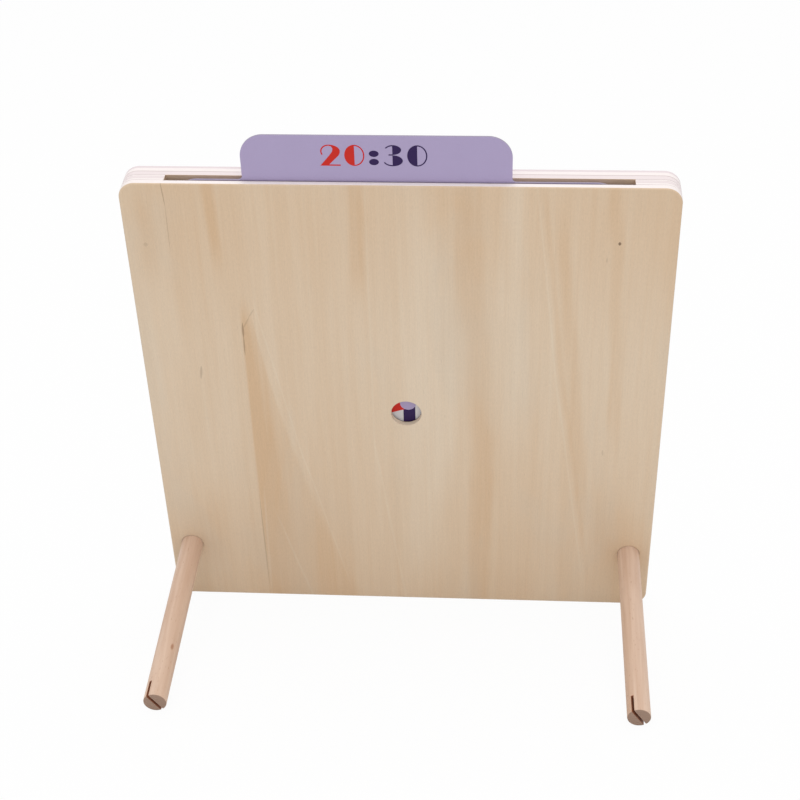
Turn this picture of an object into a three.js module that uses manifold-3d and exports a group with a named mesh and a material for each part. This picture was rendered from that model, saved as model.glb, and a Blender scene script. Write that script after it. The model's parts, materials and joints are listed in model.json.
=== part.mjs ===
// A wooden teaching clock that stands on two round legs.
//
// Three layers of plywood are glued into one board. The middle layer is a U of strips, so the
// board has a slot that is open at the top, and a time card drops into it. Two slotted dowels
// push into sockets in the back and prop the board up, leaning back. The dial side carries two
// hands on a sleeve nut, and a round hole in the back gives a screwdriver a way to that nut.
//
// Units are millimetres and +Z is up. The dial faces -Y. Every piece is made in the board's own
// frame, x to the right of the dial, y out of the back and z up the board, with y = 0 on the back
// face and z = 0 on the bottom edge, and the whole clock is then leaned back and set down.

import * as THREE from "three";
import { mergeVertices } from "three/addons/utils/BufferGeometryUtils.js";
import Module from "manifold-3d";

const wasm = await Module();
wasm.setup();

// ---------------------------------------------------------------- driving dimensions

// Board
const boardWidth = 270;
const boardHeight = 275;
const cornerRadius = 8.5;
const edgeRound = 1; // rounding of the outer edges, back and front
const backThickness = 3.4;
const spacerThickness = 4.3;
const frontThickness = 9;
const glueLine = 0.2; // between two layers
const stileWidth = 22.5; // upright strips beside the slot
const railHeight = 22.5; // strip under the slot

// Legs
const legDiameter = 12;
const legReach = 118.5; // from the back face to the end of the leg
const legRise = 39; // axis above the board's bottom edge
const legInset = 12; // axis in from the board's side edge
const legChamfer = 0.6;
const legFit = 0.15; // radial, in the socket
const socketFloor = 3; // wood left between a socket and the dial
const socketSeat = 0.3; // between a leg's end and its socket's floor
const slitWidth = 1.4;
const slitDepth = 10;
const slitAngle = 56; // degrees, from the x axis

// Time card
const cardThickness = 1;
const cardFit = 0.3; // to the back panel and to the rail it stands on
const cardSideFit = 5; // on each side, to the stiles, when it stands in the middle
const cardSlip = 1; // where it stands in the slot, to the right of the middle
const cardCorner = 12;
const shoulderRise = 0.2; // shoulders above the board's top edge
const tabWidth = 129;
const tabRise = 24.5; // tab above the board's top edge
const tabShift = 9; // tab's middle from the card's middle
const tabCorner = 11.5;
const tabFillet = 2; // hollow corner between tab and shoulder

// Pivot of the hands
const pivotRise = 137.5; // above the board's bottom edge
const toolHoleDiameter = 16;
const toolHoleShift = { x: -1.1, z: -0.8 }; // its middle from the pivot
const sleeveDiameter = 6;
const sleeveFit = 0.2; // radial, in everything that turns or slides on it
const flangeDiameter = 12;
const flangeThickness = 1.1;
const flangeSink = 0.2; // below the front panel's back
const flangeSeatFit = 0.4; // between the flange and the step it rests on
const driverSlotWidth = 1.2;
const driverSlotDepth = 0.6;
const screwDiameter = 4;
const threadFit = 0.1; // radial, screw in sleeve
const screwReach = 12; // of the shank inside the sleeve
const boreRun = 1; // threaded bore past the screw's end
const headDiameter = 9;
const headThickness = 2;
const headRound = 0.8;
const stackGap = 0.2; // between two neighbours on the sleeve

// Hands
const handThickness = 3;
const handEdge = 0.5; // rounding of the painted edges
const hourHand = { length: 62, hub: 26, root: 11, tip: 15, point: 15, hour: 8.5 };
const minuteHand = { length: 92, hub: 23, root: 8, tip: 11, point: 14, hour: 6 };

// Washers on the sleeve
const dialWasher = { diameter: 19, thickness: 0.8 };
const handWasher = { diameter: 17, thickness: 0.8 };
const waveWasher = { diameter: 12.5, thickness: 0.4, lift: 0.5, waves: 3 };
const capWasher = { diameter: 12.5, thickness: 0.8 };

// Cap over the screw
const capDiameter = 22;
const capDome = 3.2; // height of the rounded front
const capWall = 1.4; // wood in front of the screw head
const capFit = 0.25; // to the washer and the screw head inside it

const roundSegments = 48;
const cornerSegments = 10;
const edgeSegments = 4;
const overshoot = 1; // how far a cutting tool runs past the face that it opens

// ---------------------------------------------------------------- places worked out from them

const backFace = 0;
const spacerBack = backFace - backThickness - glueLine;
const frontBack = spacerBack - spacerThickness - glueLine;
const dialFace = frontBack - frontThickness;
const slotWidth = boardWidth - 2 * stileWidth;
const legX = boardWidth / 2 - legInset;
const legRadius = legDiameter / 2;
const socketRadius = legRadius + legFit;
const socketEnd = dialFace + socketFloor;
const sleeveBore = sleeveDiameter / 2 + sleeveFit;

// The stack on the sleeve, from the dial outwards. Each value is a piece's face nearest the dial.
const dialWasherBack = dialFace - stackGap;
const hourHandBack = dialWasherBack - dialWasher.thickness - stackGap;
const handWasherBack = hourHandBack - handThickness - stackGap;
const minuteHandBack = handWasherBack - handWasher.thickness - stackGap;
const waveWasherBack = minuteHandBack - handThickness - stackGap;
const sleeveEnd = waveWasherBack - waveWasher.thickness - waveWasher.lift - stackGap;
const capWasherBack = sleeveEnd - stackGap;
const headBack = capWasherBack - capWasher.thickness - stackGap;
const headFront = headBack - headThickness;

// ---------------------------------------------------------------- solids

/** A closed geometry as a manifold-3d solid. */
function solidOf(geometry) {
  const bare = geometry.clone();
  bare.deleteAttribute("normal");
  bare.deleteAttribute("uv");
  const merged = mergeVertices(bare, 1e-4);
  return new wasm.Manifold(
    new wasm.Mesh({
      numProp: 3,
      vertProperties: merged.attributes.position.array,
      triVerts: new Uint32Array(merged.index.array),
    }),
  );
}

/** A manifold-3d solid as a geometry with flat faces. */
function geometryOf(solid) {
  const mesh = solid.getMesh();
  const geometry = new THREE.BufferGeometry();
  geometry.setAttribute("position", new THREE.BufferAttribute(mesh.vertProperties, 3));
  geometry.setIndex(new THREE.BufferAttribute(mesh.triVerts, 1));
  const flat = geometry.toNonIndexed();
  flat.computeVertexNormals();
  return flat;
}

/** The geometry that is left when the tools are cut from the body. */
function cut(body, tools) {
  return geometryOf(tools.reduce((left, tool) => left.subtract(solidOf(tool)), solidOf(body)));
}

/** A cylinder along y between two faces. */
function rod(x, z, radius, from, to) {
  const made = new THREE.CylinderGeometry(radius, radius, Math.abs(to - from), roundSegments);
  return made.translate(x, (from + to) / 2, z);
}

/** A box given by its middle in x and z, its size in x and z, and its faces in y. */
function block(x, z, width, height, from, to) {
  const made = new THREE.BoxGeometry(width, Math.abs(to - from), height);
  return made.translate(x, (from + to) / 2, z);
}

/** A turned piece about the y axis. Each profile point is [radius, y], from axis to axis. */
function turned(profile) {
  const points = profile.map(([radius, y]) => new THREE.Vector2(radius, y));
  return new THREE.LatheGeometry(points, roundSegments);
}

/** A shape in x and z, extruded from one face in y to a face nearer the dial. */
function plate(shape, from, to) {
  const settings = { depth: from - to, bevelEnabled: false, curveSegments: cornerSegments };
  const made = new THREE.ExtrudeGeometry(shape, settings);
  return made.rotateX(Math.PI / 2).translate(0, from, 0);
}

/** As plate, with the edges of both faces rounded inside the outline. */
function softPlate(shape, from, to, round) {
  const settings = {
    depth: from - to - 2 * round,
    bevelEnabled: true,
    bevelSize: round,
    bevelThickness: round,
    bevelOffset: -round,
    bevelSegments: edgeSegments,
    curveSegments: cornerSegments,
  };
  const made = new THREE.ExtrudeGeometry(shape, settings);
  return made.rotateX(Math.PI / 2).translate(0, from - round, 0);
}

/** A rectangle with round corners; radii run bottom left, bottom right, top right, top left. */
function roundedRectangle(left, right, bottom, top, radii) {
  const [bottomLeft, bottomRight, topRight, topLeft] = radii;
  const quarter = Math.PI / 2;
  const shape = new THREE.Shape();
  shape.moveTo(left + bottomLeft, bottom);
  shape.lineTo(right - bottomRight, bottom);
  if (bottomRight) {
    shape.absarc(right - bottomRight, bottom + bottomRight, bottomRight, -quarter, 0);
  }
  shape.lineTo(right, top - topRight);
  if (topRight) shape.absarc(right - topRight, top - topRight, topRight, 0, quarter);
  shape.lineTo(left + topLeft, top);
  if (topLeft) shape.absarc(left + topLeft, top - topLeft, topLeft, quarter, 2 * quarter);
  shape.lineTo(left, bottom + bottomLeft);
  if (bottomLeft) {
    shape.absarc(left + bottomLeft, bottom + bottomLeft, bottomLeft, -2 * quarter, -quarter);
  }
  return shape;
}

/** The outline that all three layers share. */
function boardOutline() {
  const half = boardWidth / 2;
  return roundedRectangle(-half, half, 0, boardHeight, Array(4).fill(cornerRadius));
}

/** A tool that takes a layer's rounding off on the side that is glued. */
function layerTrim(from, to) {
  const wide = boardWidth + 2 * overshoot;
  return block(0, boardHeight / 2, wide, boardHeight + 2 * overshoot, from, to);
}

/** Tools that cut the two leg sockets from any layer. */
function socketTools() {
  return [-legX, legX].map((x) => rod(x, legRise, socketRadius, socketEnd, backFace + overshoot));
}

// ---------------------------------------------------------------- the board

/** Thin back sheet: leg sockets, the screwdriver hole, and a rounded outer edge. */
function backPanel() {
  const inner = backFace - backThickness;
  const rough = softPlate(boardOutline(), backFace, inner - edgeRound, edgeRound);
  const trim = layerTrim(inner, inner - 2 * edgeRound);
  const toolHole = rod(
    toolHoleShift.x,
    pivotRise + toolHoleShift.z,
    toolHoleDiameter / 2,
    inner - overshoot,
    backFace + overshoot,
  );
  return cut(rough, [trim, toolHole, ...socketTools()]);
}

/** Upright strip of the middle layer; side is -1 or 1 in x. */
function stile(side) {
  const outer = (side * boardWidth) / 2;
  const inner = side * (slotWidth / 2);
  const right = side > 0;
  const radii = right ? [0, cornerRadius, cornerRadius, 0] : [cornerRadius, 0, 0, cornerRadius];
  const shape = roundedRectangle(Math.min(outer, inner), Math.max(outer, inner), 0, boardHeight, radii);
  return cut(plate(shape, spacerBack, spacerBack - spacerThickness), socketTools());
}

/** Strip under the slot, between the two stiles: the card stands on it. */
function bottomRail() {
  const width = slotWidth - 2 * glueLine;
  return block(0, railHeight / 2, width, railHeight, spacerBack, spacerBack - spacerThickness);
}

/** Thick dial sheet: blind leg sockets, and a stepped hole for the sleeve nut. */
function frontPanel() {
  const rough = softPlate(boardOutline(), frontBack + edgeRound, dialFace, edgeRound);
  const trim = layerTrim(frontBack, frontBack + 2 * edgeRound);
  const flangeSeat = frontBack - flangeSink - flangeThickness - flangeSeatFit;
  const seatRadius = flangeDiameter / 2 + sleeveFit;
  const flangeRecess = rod(0, pivotRise, seatRadius, flangeSeat, frontBack + overshoot);
  const sleeveHole = rod(0, pivotRise, sleeveBore, dialFace - overshoot, frontBack + overshoot);
  return cut(rough, [trim, flangeRecess, sleeveHole, ...socketTools()]);
}

// ---------------------------------------------------------------- legs

/** Round leg with a saw slit across each end, which lets it squeeze into its socket. */
function leg(side) {
  const inner = socketEnd + socketSeat;
  const shaft = turned([
    [0, inner],
    [legRadius - legChamfer, inner],
    [legRadius, inner + legChamfer],
    [legRadius, legReach - legChamfer],
    [legRadius - legChamfer, legReach],
    [0, legReach],
  ]);
  const slitSpan = legDiameter + 2 * overshoot;
  const slits = [
    [inner - overshoot, inner + slitDepth],
    [legReach - slitDepth, legReach + overshoot],
  ].map(([from, to]) => block(0, 0, slitSpan, slitWidth, from, to));
  for (const slit of slits) slit.rotateY(THREE.MathUtils.degToRad(-slitAngle));
  return cut(shaft, slits).translate(side * legX, 0, legRise);
}

// ---------------------------------------------------------------- time card

/** Card with round shoulders and a tab that stands out of the slot. */
function timeCard() {
  const half = slotWidth / 2 - cardSideFit;
  const bottom = railHeight + cardFit;
  const shoulder = boardHeight + shoulderRise;
  const top = boardHeight + tabRise;
  const tabLeft = tabShift - tabWidth / 2;
  const tabRight = tabShift + tabWidth / 2;
  const quarter = Math.PI / 2;
  const shape = new THREE.Shape();
  shape.moveTo(-half + cardCorner, bottom);
  shape.lineTo(half - cardCorner, bottom);
  shape.absarc(half - cardCorner, bottom + cardCorner, cardCorner, -quarter, 0);
  shape.lineTo(half, shoulder - cardCorner);
  shape.absarc(half - cardCorner, shoulder - cardCorner, cardCorner, 0, quarter);
  shape.lineTo(tabRight + tabFillet, shoulder);
  shape.absarc(tabRight + tabFillet, shoulder + tabFillet, tabFillet, -quarter, -2 * quarter, true);
  shape.lineTo(tabRight, top - tabCorner);
  shape.absarc(tabRight - tabCorner, top - tabCorner, tabCorner, 0, quarter);
  shape.lineTo(tabLeft + tabCorner, top);
  shape.absarc(tabLeft + tabCorner, top - tabCorner, tabCorner, quarter, 2 * quarter);
  shape.lineTo(tabLeft, shoulder + tabFillet);
  shape.absarc(tabLeft - tabFillet, shoulder + tabFillet, tabFillet, 0, -quarter, true);
  shape.lineTo(-half + cardCorner, shoulder);
  shape.absarc(-half + cardCorner, shoulder - cardCorner, cardCorner, quarter, 2 * quarter);
  shape.lineTo(-half, bottom + cardCorner);
  shape.absarc(-half + cardCorner, bottom + cardCorner, cardCorner, -2 * quarter, -quarter);
  const back = backFace - backThickness - cardFit;
  return plate(shape, back, back - cardThickness).translate(cardSlip, 0, 0);
}

// ---------------------------------------------------------------- hands and pivot

/** A hand that points up from a round hub, widens and ends in a point. */
function hand(size, back) {
  const hubRadius = size.hub / 2;
  const leave = Math.asin(size.root / 2 / hubRadius);
  const shoulder = size.length - size.point;
  const shape = new THREE.Shape();
  shape.absarc(0, 0, hubRadius, Math.PI / 2 + leave, Math.PI / 2 - leave + 2 * Math.PI);
  shape.lineTo(size.tip / 2, shoulder);
  shape.lineTo(0, size.length);
  shape.lineTo(-size.tip / 2, shoulder);
  const blank = softPlate(shape, back, back - handThickness, handEdge);
  const bore = rod(0, 0, sleeveBore, back + overshoot, back - handThickness - overshoot);
  const turn = THREE.MathUtils.degToRad((360 * size.hour) / 12);
  return cut(blank, [bore]).rotateY(turn).translate(0, 0, pivotRise);
}

/** A flat ring on the pivot. */
function washer(size, bore, back) {
  const front = back - size.thickness;
  const ring = rod(0, pivotRise, size.diameter / 2, back, front);
  return cut(ring, [rod(0, pivotRise, bore, back + overshoot, front - overshoot)]);
}

/** A thin spring ring that waves up and down once for each of its bends. */
function springRing() {
  const inner = sleeveBore;
  const outer = waveWasher.diameter / 2;
  const flat = new THREE.Shape();
  flat.absarc(0, 0, outer, 0, 2 * Math.PI);
  const hole = new THREE.Path();
  hole.absarc(0, 0, inner, 0, 2 * Math.PI);
  flat.holes.push(hole);
  const settings = { depth: waveWasher.thickness, bevelEnabled: false, curveSegments: roundSegments / 2 };
  const ring = new THREE.ExtrudeGeometry(flat, settings).rotateX(Math.PI / 2);
  const place = ring.getAttribute("position");
  for (let i = 0; i < place.count; i++) {
    const angle = Math.atan2(place.getZ(i), place.getX(i));
    const wave = (1 - Math.cos(waveWasher.waves * angle)) / 2;
    place.setY(i, place.getY(i) - waveWasher.lift * wave);
  }
  return ring.translate(0, waveWasherBack, pivotRise);
}

/** Flanged sleeve that the hands turn on, threaded for the screw, with a driver slot. */
function sleeveNut() {
  const flangeBack = frontBack - flangeSink;
  const flangeFront = flangeBack - flangeThickness;
  const body = turned([
    [0, sleeveEnd],
    [sleeveDiameter / 2, sleeveEnd],
    [sleeveDiameter / 2, flangeFront],
    [flangeDiameter / 2, flangeFront],
    [flangeDiameter / 2, flangeBack],
    [0, flangeBack],
  ]).translate(0, 0, pivotRise);
  const boreEnd = sleeveEnd + screwReach + boreRun;
  const bore = rod(0, pivotRise, screwDiameter / 2 + threadFit, sleeveEnd - overshoot, boreEnd);
  const slot = block(
    0,
    pivotRise,
    flangeDiameter + 2 * overshoot,
    driverSlotWidth,
    flangeBack - driverSlotDepth,
    flangeBack + overshoot,
  );
  return cut(body, [bore, slot]);
}

/** Screw that holds the stack together, with a slotted pan head. */
function pivotScrew() {
  const body = turned([
    [0, headFront],
    [headDiameter / 2 - headRound, headFront],
    [headDiameter / 2, headFront + headRound],
    [headDiameter / 2, headBack],
    [screwDiameter / 2, headBack],
    [screwDiameter / 2, sleeveEnd + screwReach],
    [0, sleeveEnd + screwReach],
  ]).translate(0, 0, pivotRise);
  const slot = block(
    0,
    pivotRise,
    headDiameter + 2 * overshoot,
    driverSlotWidth,
    headFront - overshoot,
    headFront + driverSlotDepth,
  );
  return cut(body, [slot]);
}

/** Turned wooden button that is glued over the screw head and hides the washers. */
function hubCap() {
  const rim = minuteHandBack - handThickness - stackGap;
  const washerRoom = capWasher.diameter / 2 + capFit;
  const headRoom = headDiameter / 2 + capFit;
  const innerStep = headBack;
  const innerTop = headFront - capFit;
  const crown = innerTop - capWall;
  const shoulder = crown + capDome;
  const dome = [];
  for (let i = 0; i <= cornerSegments; i++) {
    const angle = (Math.PI / 2) * (i / cornerSegments);
    dome.push([(capDiameter / 2) * Math.sin(angle), shoulder - capDome * Math.cos(angle)]);
  }
  return turned([
    ...dome,
    [capDiameter / 2, rim],
    [washerRoom, rim],
    [washerRoom, innerStep],
    [headRoom, innerStep],
    [headRoom, innerTop],
    [0, innerTop],
  ]).translate(0, 0, pivotRise);
}

// ---------------------------------------------------------------- lean

/**
 * Angle at which the board's rounded bottom edge and the ends of the legs touch one level floor.
 * A point at y, z in the board's frame has the height z cos(lean) - y sin(lean).
 */
function leanAngle() {
  const rise = legRise - legRadius - edgeRound;
  const reach = legReach - legChamfer + edgeRound;
  return Math.acos(-edgeRound / Math.hypot(rise, reach)) - Math.atan2(reach, rise);
}

// ---------------------------------------------------------------- assembly

const finishes = {
  plywood: { color: 0xdcc7a6, roughness: 0.55, metalness: 0 },
  beech: { color: 0xdfb994, roughness: 0.5, metalness: 0 },
  card: { color: 0xa899c8, roughness: 0.6, metalness: 0 },
  redPaint: { color: 0xc62f26, roughness: 0.4, metalness: 0 },
  violetPaint: { color: 0x2e2350, roughness: 0.4, metalness: 0 },
  lavenderPaint: { color: 0xa899c8, roughness: 0.4, metalness: 0 },
  steel: { color: 0xb9bcc0, roughness: 0.3, metalness: 1 },
  fibre: { color: 0x6b4a3a, roughness: 0.8, metalness: 0 },
};

/** One named piece of the clock. */
function piece(name, geometry, finish) {
  const mesh = new THREE.Mesh(geometry, new THREE.MeshStandardMaterial(finish));
  mesh.name = name;
  return mesh;
}

const board = new THREE.Group();
board.add(
  piece("back_panel", backPanel(), finishes.plywood),
  piece("slot_stile_left", stile(-1), finishes.plywood),
  piece("slot_stile_right", stile(1), finishes.plywood),
  piece("slot_bottom_rail", bottomRail(), finishes.plywood),
  piece("front_panel", frontPanel(), finishes.plywood),
);

const legs = new THREE.Group();
legs.add(
  piece("leg_left", leg(-1), finishes.beech),
  piece("leg_right", leg(1), finishes.beech),
);

const pivot = new THREE.Group();
pivot.add(
  piece("pivot_sleeve_nut", sleeveNut(), finishes.steel),
  piece("pivot_screw", pivotScrew(), finishes.steel),
  piece("dial_washer", washer(dialWasher, sleeveBore, dialWasherBack), finishes.fibre),
  piece("hour_hand", hand(hourHand, hourHandBack), finishes.redPaint),
  piece("hand_washer", washer(handWasher, sleeveBore, handWasherBack), finishes.fibre),
  piece("minute_hand", hand(minuteHand, minuteHandBack), finishes.violetPaint),
  piece("wave_washer", springRing(), finishes.steel),
  piece("cap_washer", washer(capWasher, screwDiameter / 2 + threadFit, capWasherBack), finishes.steel),
  piece("hub_cap", hubCap(), finishes.lavenderPaint),
);

const clock = new THREE.Group();
clock.add(board, legs, pivot, piece("time_card", timeCard(), finishes.card));
clock.rotation.x = -leanAngle();

// Set down on z = 0 with the middle of its footprint on the z axis.
const extent = new THREE.Box3().setFromObject(clock, true);
clock.position.set(0, -(extent.min.y + extent.max.y) / 2, -extent.min.z);

export default clock;
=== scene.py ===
"""A wooden teaching clock with a slide-in time card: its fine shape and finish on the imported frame.

The board leans back, so every piece is modelled in the board's own axes and then set in place:
x to the right of the dial, y out of the back and z up the board, from the middle of the back
face's lower edge. Pieces are in metres. Inside the finishes, patterns are in millimetres.
"""

import json
import logging
import math
from dataclasses import dataclass
from enum import Enum
from typing import Callable, Sequence, Union

import bpy
from mathutils import Matrix, Vector

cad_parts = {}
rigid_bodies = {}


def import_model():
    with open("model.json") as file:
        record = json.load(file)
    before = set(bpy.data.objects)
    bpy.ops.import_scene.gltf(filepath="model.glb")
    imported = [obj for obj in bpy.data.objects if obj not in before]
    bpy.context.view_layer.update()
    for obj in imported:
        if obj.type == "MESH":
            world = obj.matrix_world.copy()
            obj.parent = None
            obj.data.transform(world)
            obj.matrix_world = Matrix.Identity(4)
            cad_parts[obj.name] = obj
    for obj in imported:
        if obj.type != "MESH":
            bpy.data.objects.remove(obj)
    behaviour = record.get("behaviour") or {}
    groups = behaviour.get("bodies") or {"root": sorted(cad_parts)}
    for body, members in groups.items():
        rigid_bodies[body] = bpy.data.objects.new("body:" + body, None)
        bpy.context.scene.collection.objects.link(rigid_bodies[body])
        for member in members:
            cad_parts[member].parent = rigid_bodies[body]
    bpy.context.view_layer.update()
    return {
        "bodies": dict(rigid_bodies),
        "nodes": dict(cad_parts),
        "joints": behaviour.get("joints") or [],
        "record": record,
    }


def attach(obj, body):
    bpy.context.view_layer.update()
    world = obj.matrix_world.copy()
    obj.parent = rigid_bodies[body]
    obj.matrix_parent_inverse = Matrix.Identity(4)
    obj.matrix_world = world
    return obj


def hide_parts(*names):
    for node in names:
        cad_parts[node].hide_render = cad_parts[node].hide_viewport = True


log = logging.getLogger("teaching_clock")

MM = 0.001
NEAR = 1e-6  # metres: what is nearer than this to a plane lies on it
HOLE_RADIUS = 8.0 * MM  # of the screwdriver's hole in the back sheet
HOLE_SHIFT = Vector((-1.1 * MM, 0.0, -0.8 * MM))  # from the pivot to the middle of that hole

Colour = tuple[float, float, float]
Point = tuple[float, float]
Outline = list[Point]
Piece = bpy.types.Object
Material = bpy.types.Material


def paint(red: int, green: int, blue: int) -> Colour:
    """Turn a colour as it is seen into the linear values that a shader takes.

    Args:
        red: red, from 0 to 255.
        green: green, from 0 to 255.
        blue: blue, from 0 to 255.

    Returns:
        The colour in linear light.
    """

    def linear(level: int) -> float:
        """Undo the display curve of one channel."""
        share = level / 255
        return share / 12.92 if share <= 0.04045 else ((share + 0.055) / 1.055) ** 2.4

    return linear(red), linear(green), linear(blue)


# --------------------------------------------------------------------------- the board's axes


@dataclass(frozen=True)
class Extent:
    """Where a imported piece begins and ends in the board's axes."""

    low: Vector
    high: Vector

    @property
    def size(self) -> Vector:
        """Size along the three axes."""
        return self.high - self.low

    @property
    def middle(self) -> Vector:
        """Middle of the piece."""
        return (self.high + self.low) / 2


@dataclass(frozen=True)
class BoardAxes:
    """The leaning board's axes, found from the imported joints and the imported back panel."""

    place: Matrix
    lean: float
    nodes: dict[str, Piece]

    @classmethod
    def from_frame(cls, frame: dict) -> "BoardAxes":
        """Find the axes.


        Returns:
            The board's axes, with their origin on the back face's lower edge.
        """
        axes = {joint["name"]: Vector(joint["axis"]) for joint in frame["joints"]}
        up = axes["card_lift"].normalized()
        out = axes["leg_left_pull"].normalized()
        corners = [vertex.co for vertex in frame["nodes"]["back_panel"].data.vertices]
        back = max(corner.dot(out) for corner in corners)
        bottom = min(corner.dot(up) for corner in corners)
        place = Matrix((Vector((1, 0, 0)), out, up)).transposed().to_4x4()
        place.translation = out * back + up * bottom
        return cls(place, math.atan2(up.y, up.z), frame["nodes"])

    def extent(self, node: str) -> Extent:
        """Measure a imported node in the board's axes.

        Args:
            node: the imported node's name.

        Returns:
            Its lowest and highest corner.
        """
        inverse = self.place.inverted()
        points = [inverse @ vertex.co for vertex in self.nodes[node].data.vertices]
        low = Vector(min(point[axis] for point in points) for axis in range(3))
        high = Vector(max(point[axis] for point in points) for axis in range(3))
        return Extent(low, high)

    def hole(self) -> Vector:
        """Middle of the round hole in the back sheet, at the pivot's depth."""
        return self.extent("pivot_sleeve_nut").middle + HOLE_SHIFT


# --------------------------------------------------------------------------- modelling by hand


class Bench:
    """Blender's own modelling tools, used on one piece at a time in the board's axes."""

    @staticmethod
    def clear() -> None:
        """Leave edit mode and select nothing."""
        if bpy.context.mode != "OBJECT":
            bpy.ops.object.mode_set(mode="OBJECT")
        bpy.ops.object.select_all(action="DESELECT")

    @staticmethod
    def alone(piece: Piece) -> None:
        """Leave edit mode and select one piece only.

        Args:
            piece: the piece to work on.
        """
        Bench.clear()
        piece.select_set(True)
        bpy.context.view_layer.objects.active = piece

    @staticmethod
    def apply(piece: Piece) -> None:
        """Move a piece's place, turn and size into its mesh."""
        Bench.alone(piece)
        bpy.ops.object.transform_apply(location=True, rotation=True, scale=True)

    @staticmethod
    def settle(name: str, size: Sequence[float] = (1, 1, 1)) -> Piece:
        """Name and size the new primitive, and move its place into its mesh.

        Args:
            name: the piece's name.
            size: its scale along its own axes.

        Returns:
            The piece, at the origin.
        """
        piece = bpy.context.active_object
        piece.name = name
        piece.scale = size
        Bench.apply(piece)
        return piece

    @staticmethod
    def block(name: str, low: Vector, high: Vector) -> Piece:
        """Add a block.

        Args:
            name: its name.
            low: its lowest corner.
            high: its highest corner.

        Returns:
            The block.
        """
        Bench.clear()
        bpy.ops.mesh.primitive_cube_add(size=1, location=(low + high) / 2)
        return Bench.settle(name, high - low)

    @staticmethod
    def panel(name: str, low: Vector, high: Vector) -> Piece:
        """Add an upright face on the back side of a box.

        Args:
            name: its name.
            low: the box's lowest corner.
            high: the box's highest corner, whose y the face takes.

        Returns:
            The face.
        """
        Bench.clear()
        middle = (low + high) / 2
        bpy.ops.mesh.primitive_plane_add(
            size=1, location=(middle.x, high.y, middle.z), rotation=(-math.pi / 2, 0, 0)
        )
        return Bench.settle(name, (high.x - low.x, high.z - low.z, 1))

    @staticmethod
    def rod(name: str, middle: Vector, radius: float, front: float, back: float, sides: int = 96) -> Piece:
        """Add a round bar along y.

        Args:
            name: its name.
            middle: a point on its axis, at any depth.
            radius: its radius.
            front: its end nearest the dial.
            back: its other end.
            sides: flats around it.

        Returns:
            The bar.
        """
        Bench.clear()
        bpy.ops.mesh.primitive_cylinder_add(
            vertices=sides,
            radius=radius,
            depth=back - front,
            location=(middle.x, (front + back) / 2, middle.z),
            rotation=(math.pi / 2, 0, 0),
        )
        return Bench.settle(name)

    @staticmethod
    def pick_all(piece: Piece, kind: str = "FACE") -> None:
        """Select the whole mesh, and stay in edit mode.

        Args:
            piece: the piece.
            kind: what is selected: VERT, EDGE or FACE.
        """
        Bench.alone(piece)
        bpy.ops.object.mode_set(mode="EDIT")
        bpy.ops.mesh.select_mode(type=kind)
        bpy.ops.mesh.select_all(action="SELECT")

    @staticmethod
    def _pick_none(piece: Piece, kind: str) -> None:
        """Select nothing in the mesh, and go back to object mode, where code can select.

        Args:
            piece: the piece.
            kind: what will be selected: VERT, EDGE or FACE.
        """
        Bench.pick_all(piece, kind)
        bpy.ops.mesh.select_all(action="DESELECT")
        bpy.ops.object.mode_set(mode="OBJECT")

    @staticmethod
    def pick_corners(piece: Piece, test: Callable[[Vector], bool]) -> None:
        """Select some corners, and stay in edit mode.

        Args:
            piece: the piece.
            test: whether a corner at a place is wanted.
        """
        Bench._pick_none(piece, "VERT")
        for vertex in piece.data.vertices:
            vertex.select = test(vertex.co)
        bpy.ops.object.mode_set(mode="EDIT")

    @staticmethod
    def pick_edges(piece: Piece, test: Callable[[Vector, Vector], bool]) -> None:
        """Select some edges, and stay in edit mode.

        Args:
            piece: the piece.
            test: whether an edge between two places is wanted.
        """
        Bench._pick_none(piece, "EDGE")
        corners = piece.data.vertices
        for edge in piece.data.edges:
            edge.select = test(*(corners[index].co for index in edge.vertices))
        bpy.ops.object.mode_set(mode="EDIT")

    @staticmethod
    def extrude(along: Vector) -> None:
        """Extrude what is selected."""
        bpy.ops.mesh.extrude_region_move(TRANSFORM_OT_translate={"value": tuple(along)})

    @staticmethod
    def thicken(piece: Piece, depth: float) -> None:
        """Give a flat face a depth and close it up.

        Args:
            piece: the flat face.
            depth: how far it reaches towards the dial, or away from it where negative.
        """
        Bench.pick_all(piece)
        Bench.extrude(Vector((0, -depth, 0)))
        Bench.close_up(piece)

    @staticmethod
    def round_corners(
        piece: Piece, radius: float, test: Callable[[Vector], bool], steps: int = 12
    ) -> None:
        """Round some corners of a flat outline.

        Args:
            piece: the outline.
            radius: the corners' radius.
            test: whether a corner at a place is wanted.
            steps: faces round each corner.
        """
        Bench.pick_corners(piece, test)
        bpy.ops.mesh.bevel(offset=radius, segments=steps, profile=0.5, affect="VERTICES")
        Bench.clear()

    @staticmethod
    def round_rims(piece: Piece, radius: float, levels: Sequence[float], steps: int = 4) -> None:
        """Round every edge that lies flat at some depths.

        Args:
            piece: the piece.
            radius: the edges' radius.
            levels: the places along y where the edges lie.
            steps: faces across each edge.
        """
        Bench.pick_edges(
            piece, lambda a, b: any(max(abs(a.y - y), abs(b.y - y)) < NEAR for y in levels)
        )
        bpy.ops.mesh.bevel(offset=radius, segments=steps, profile=0.5, affect="EDGES")
        Bench.clear()

    @staticmethod
    def close_up(piece: Piece) -> None:
        """Merge doubled corners and turn all faces outwards.

        Args:
            piece: the piece.
        """
        Bench.pick_all(piece, "VERT")
        bpy.ops.mesh.remove_doubles(threshold=NEAR / 10)
        bpy.ops.mesh.normals_make_consistent(inside=False)
        Bench.clear()

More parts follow.
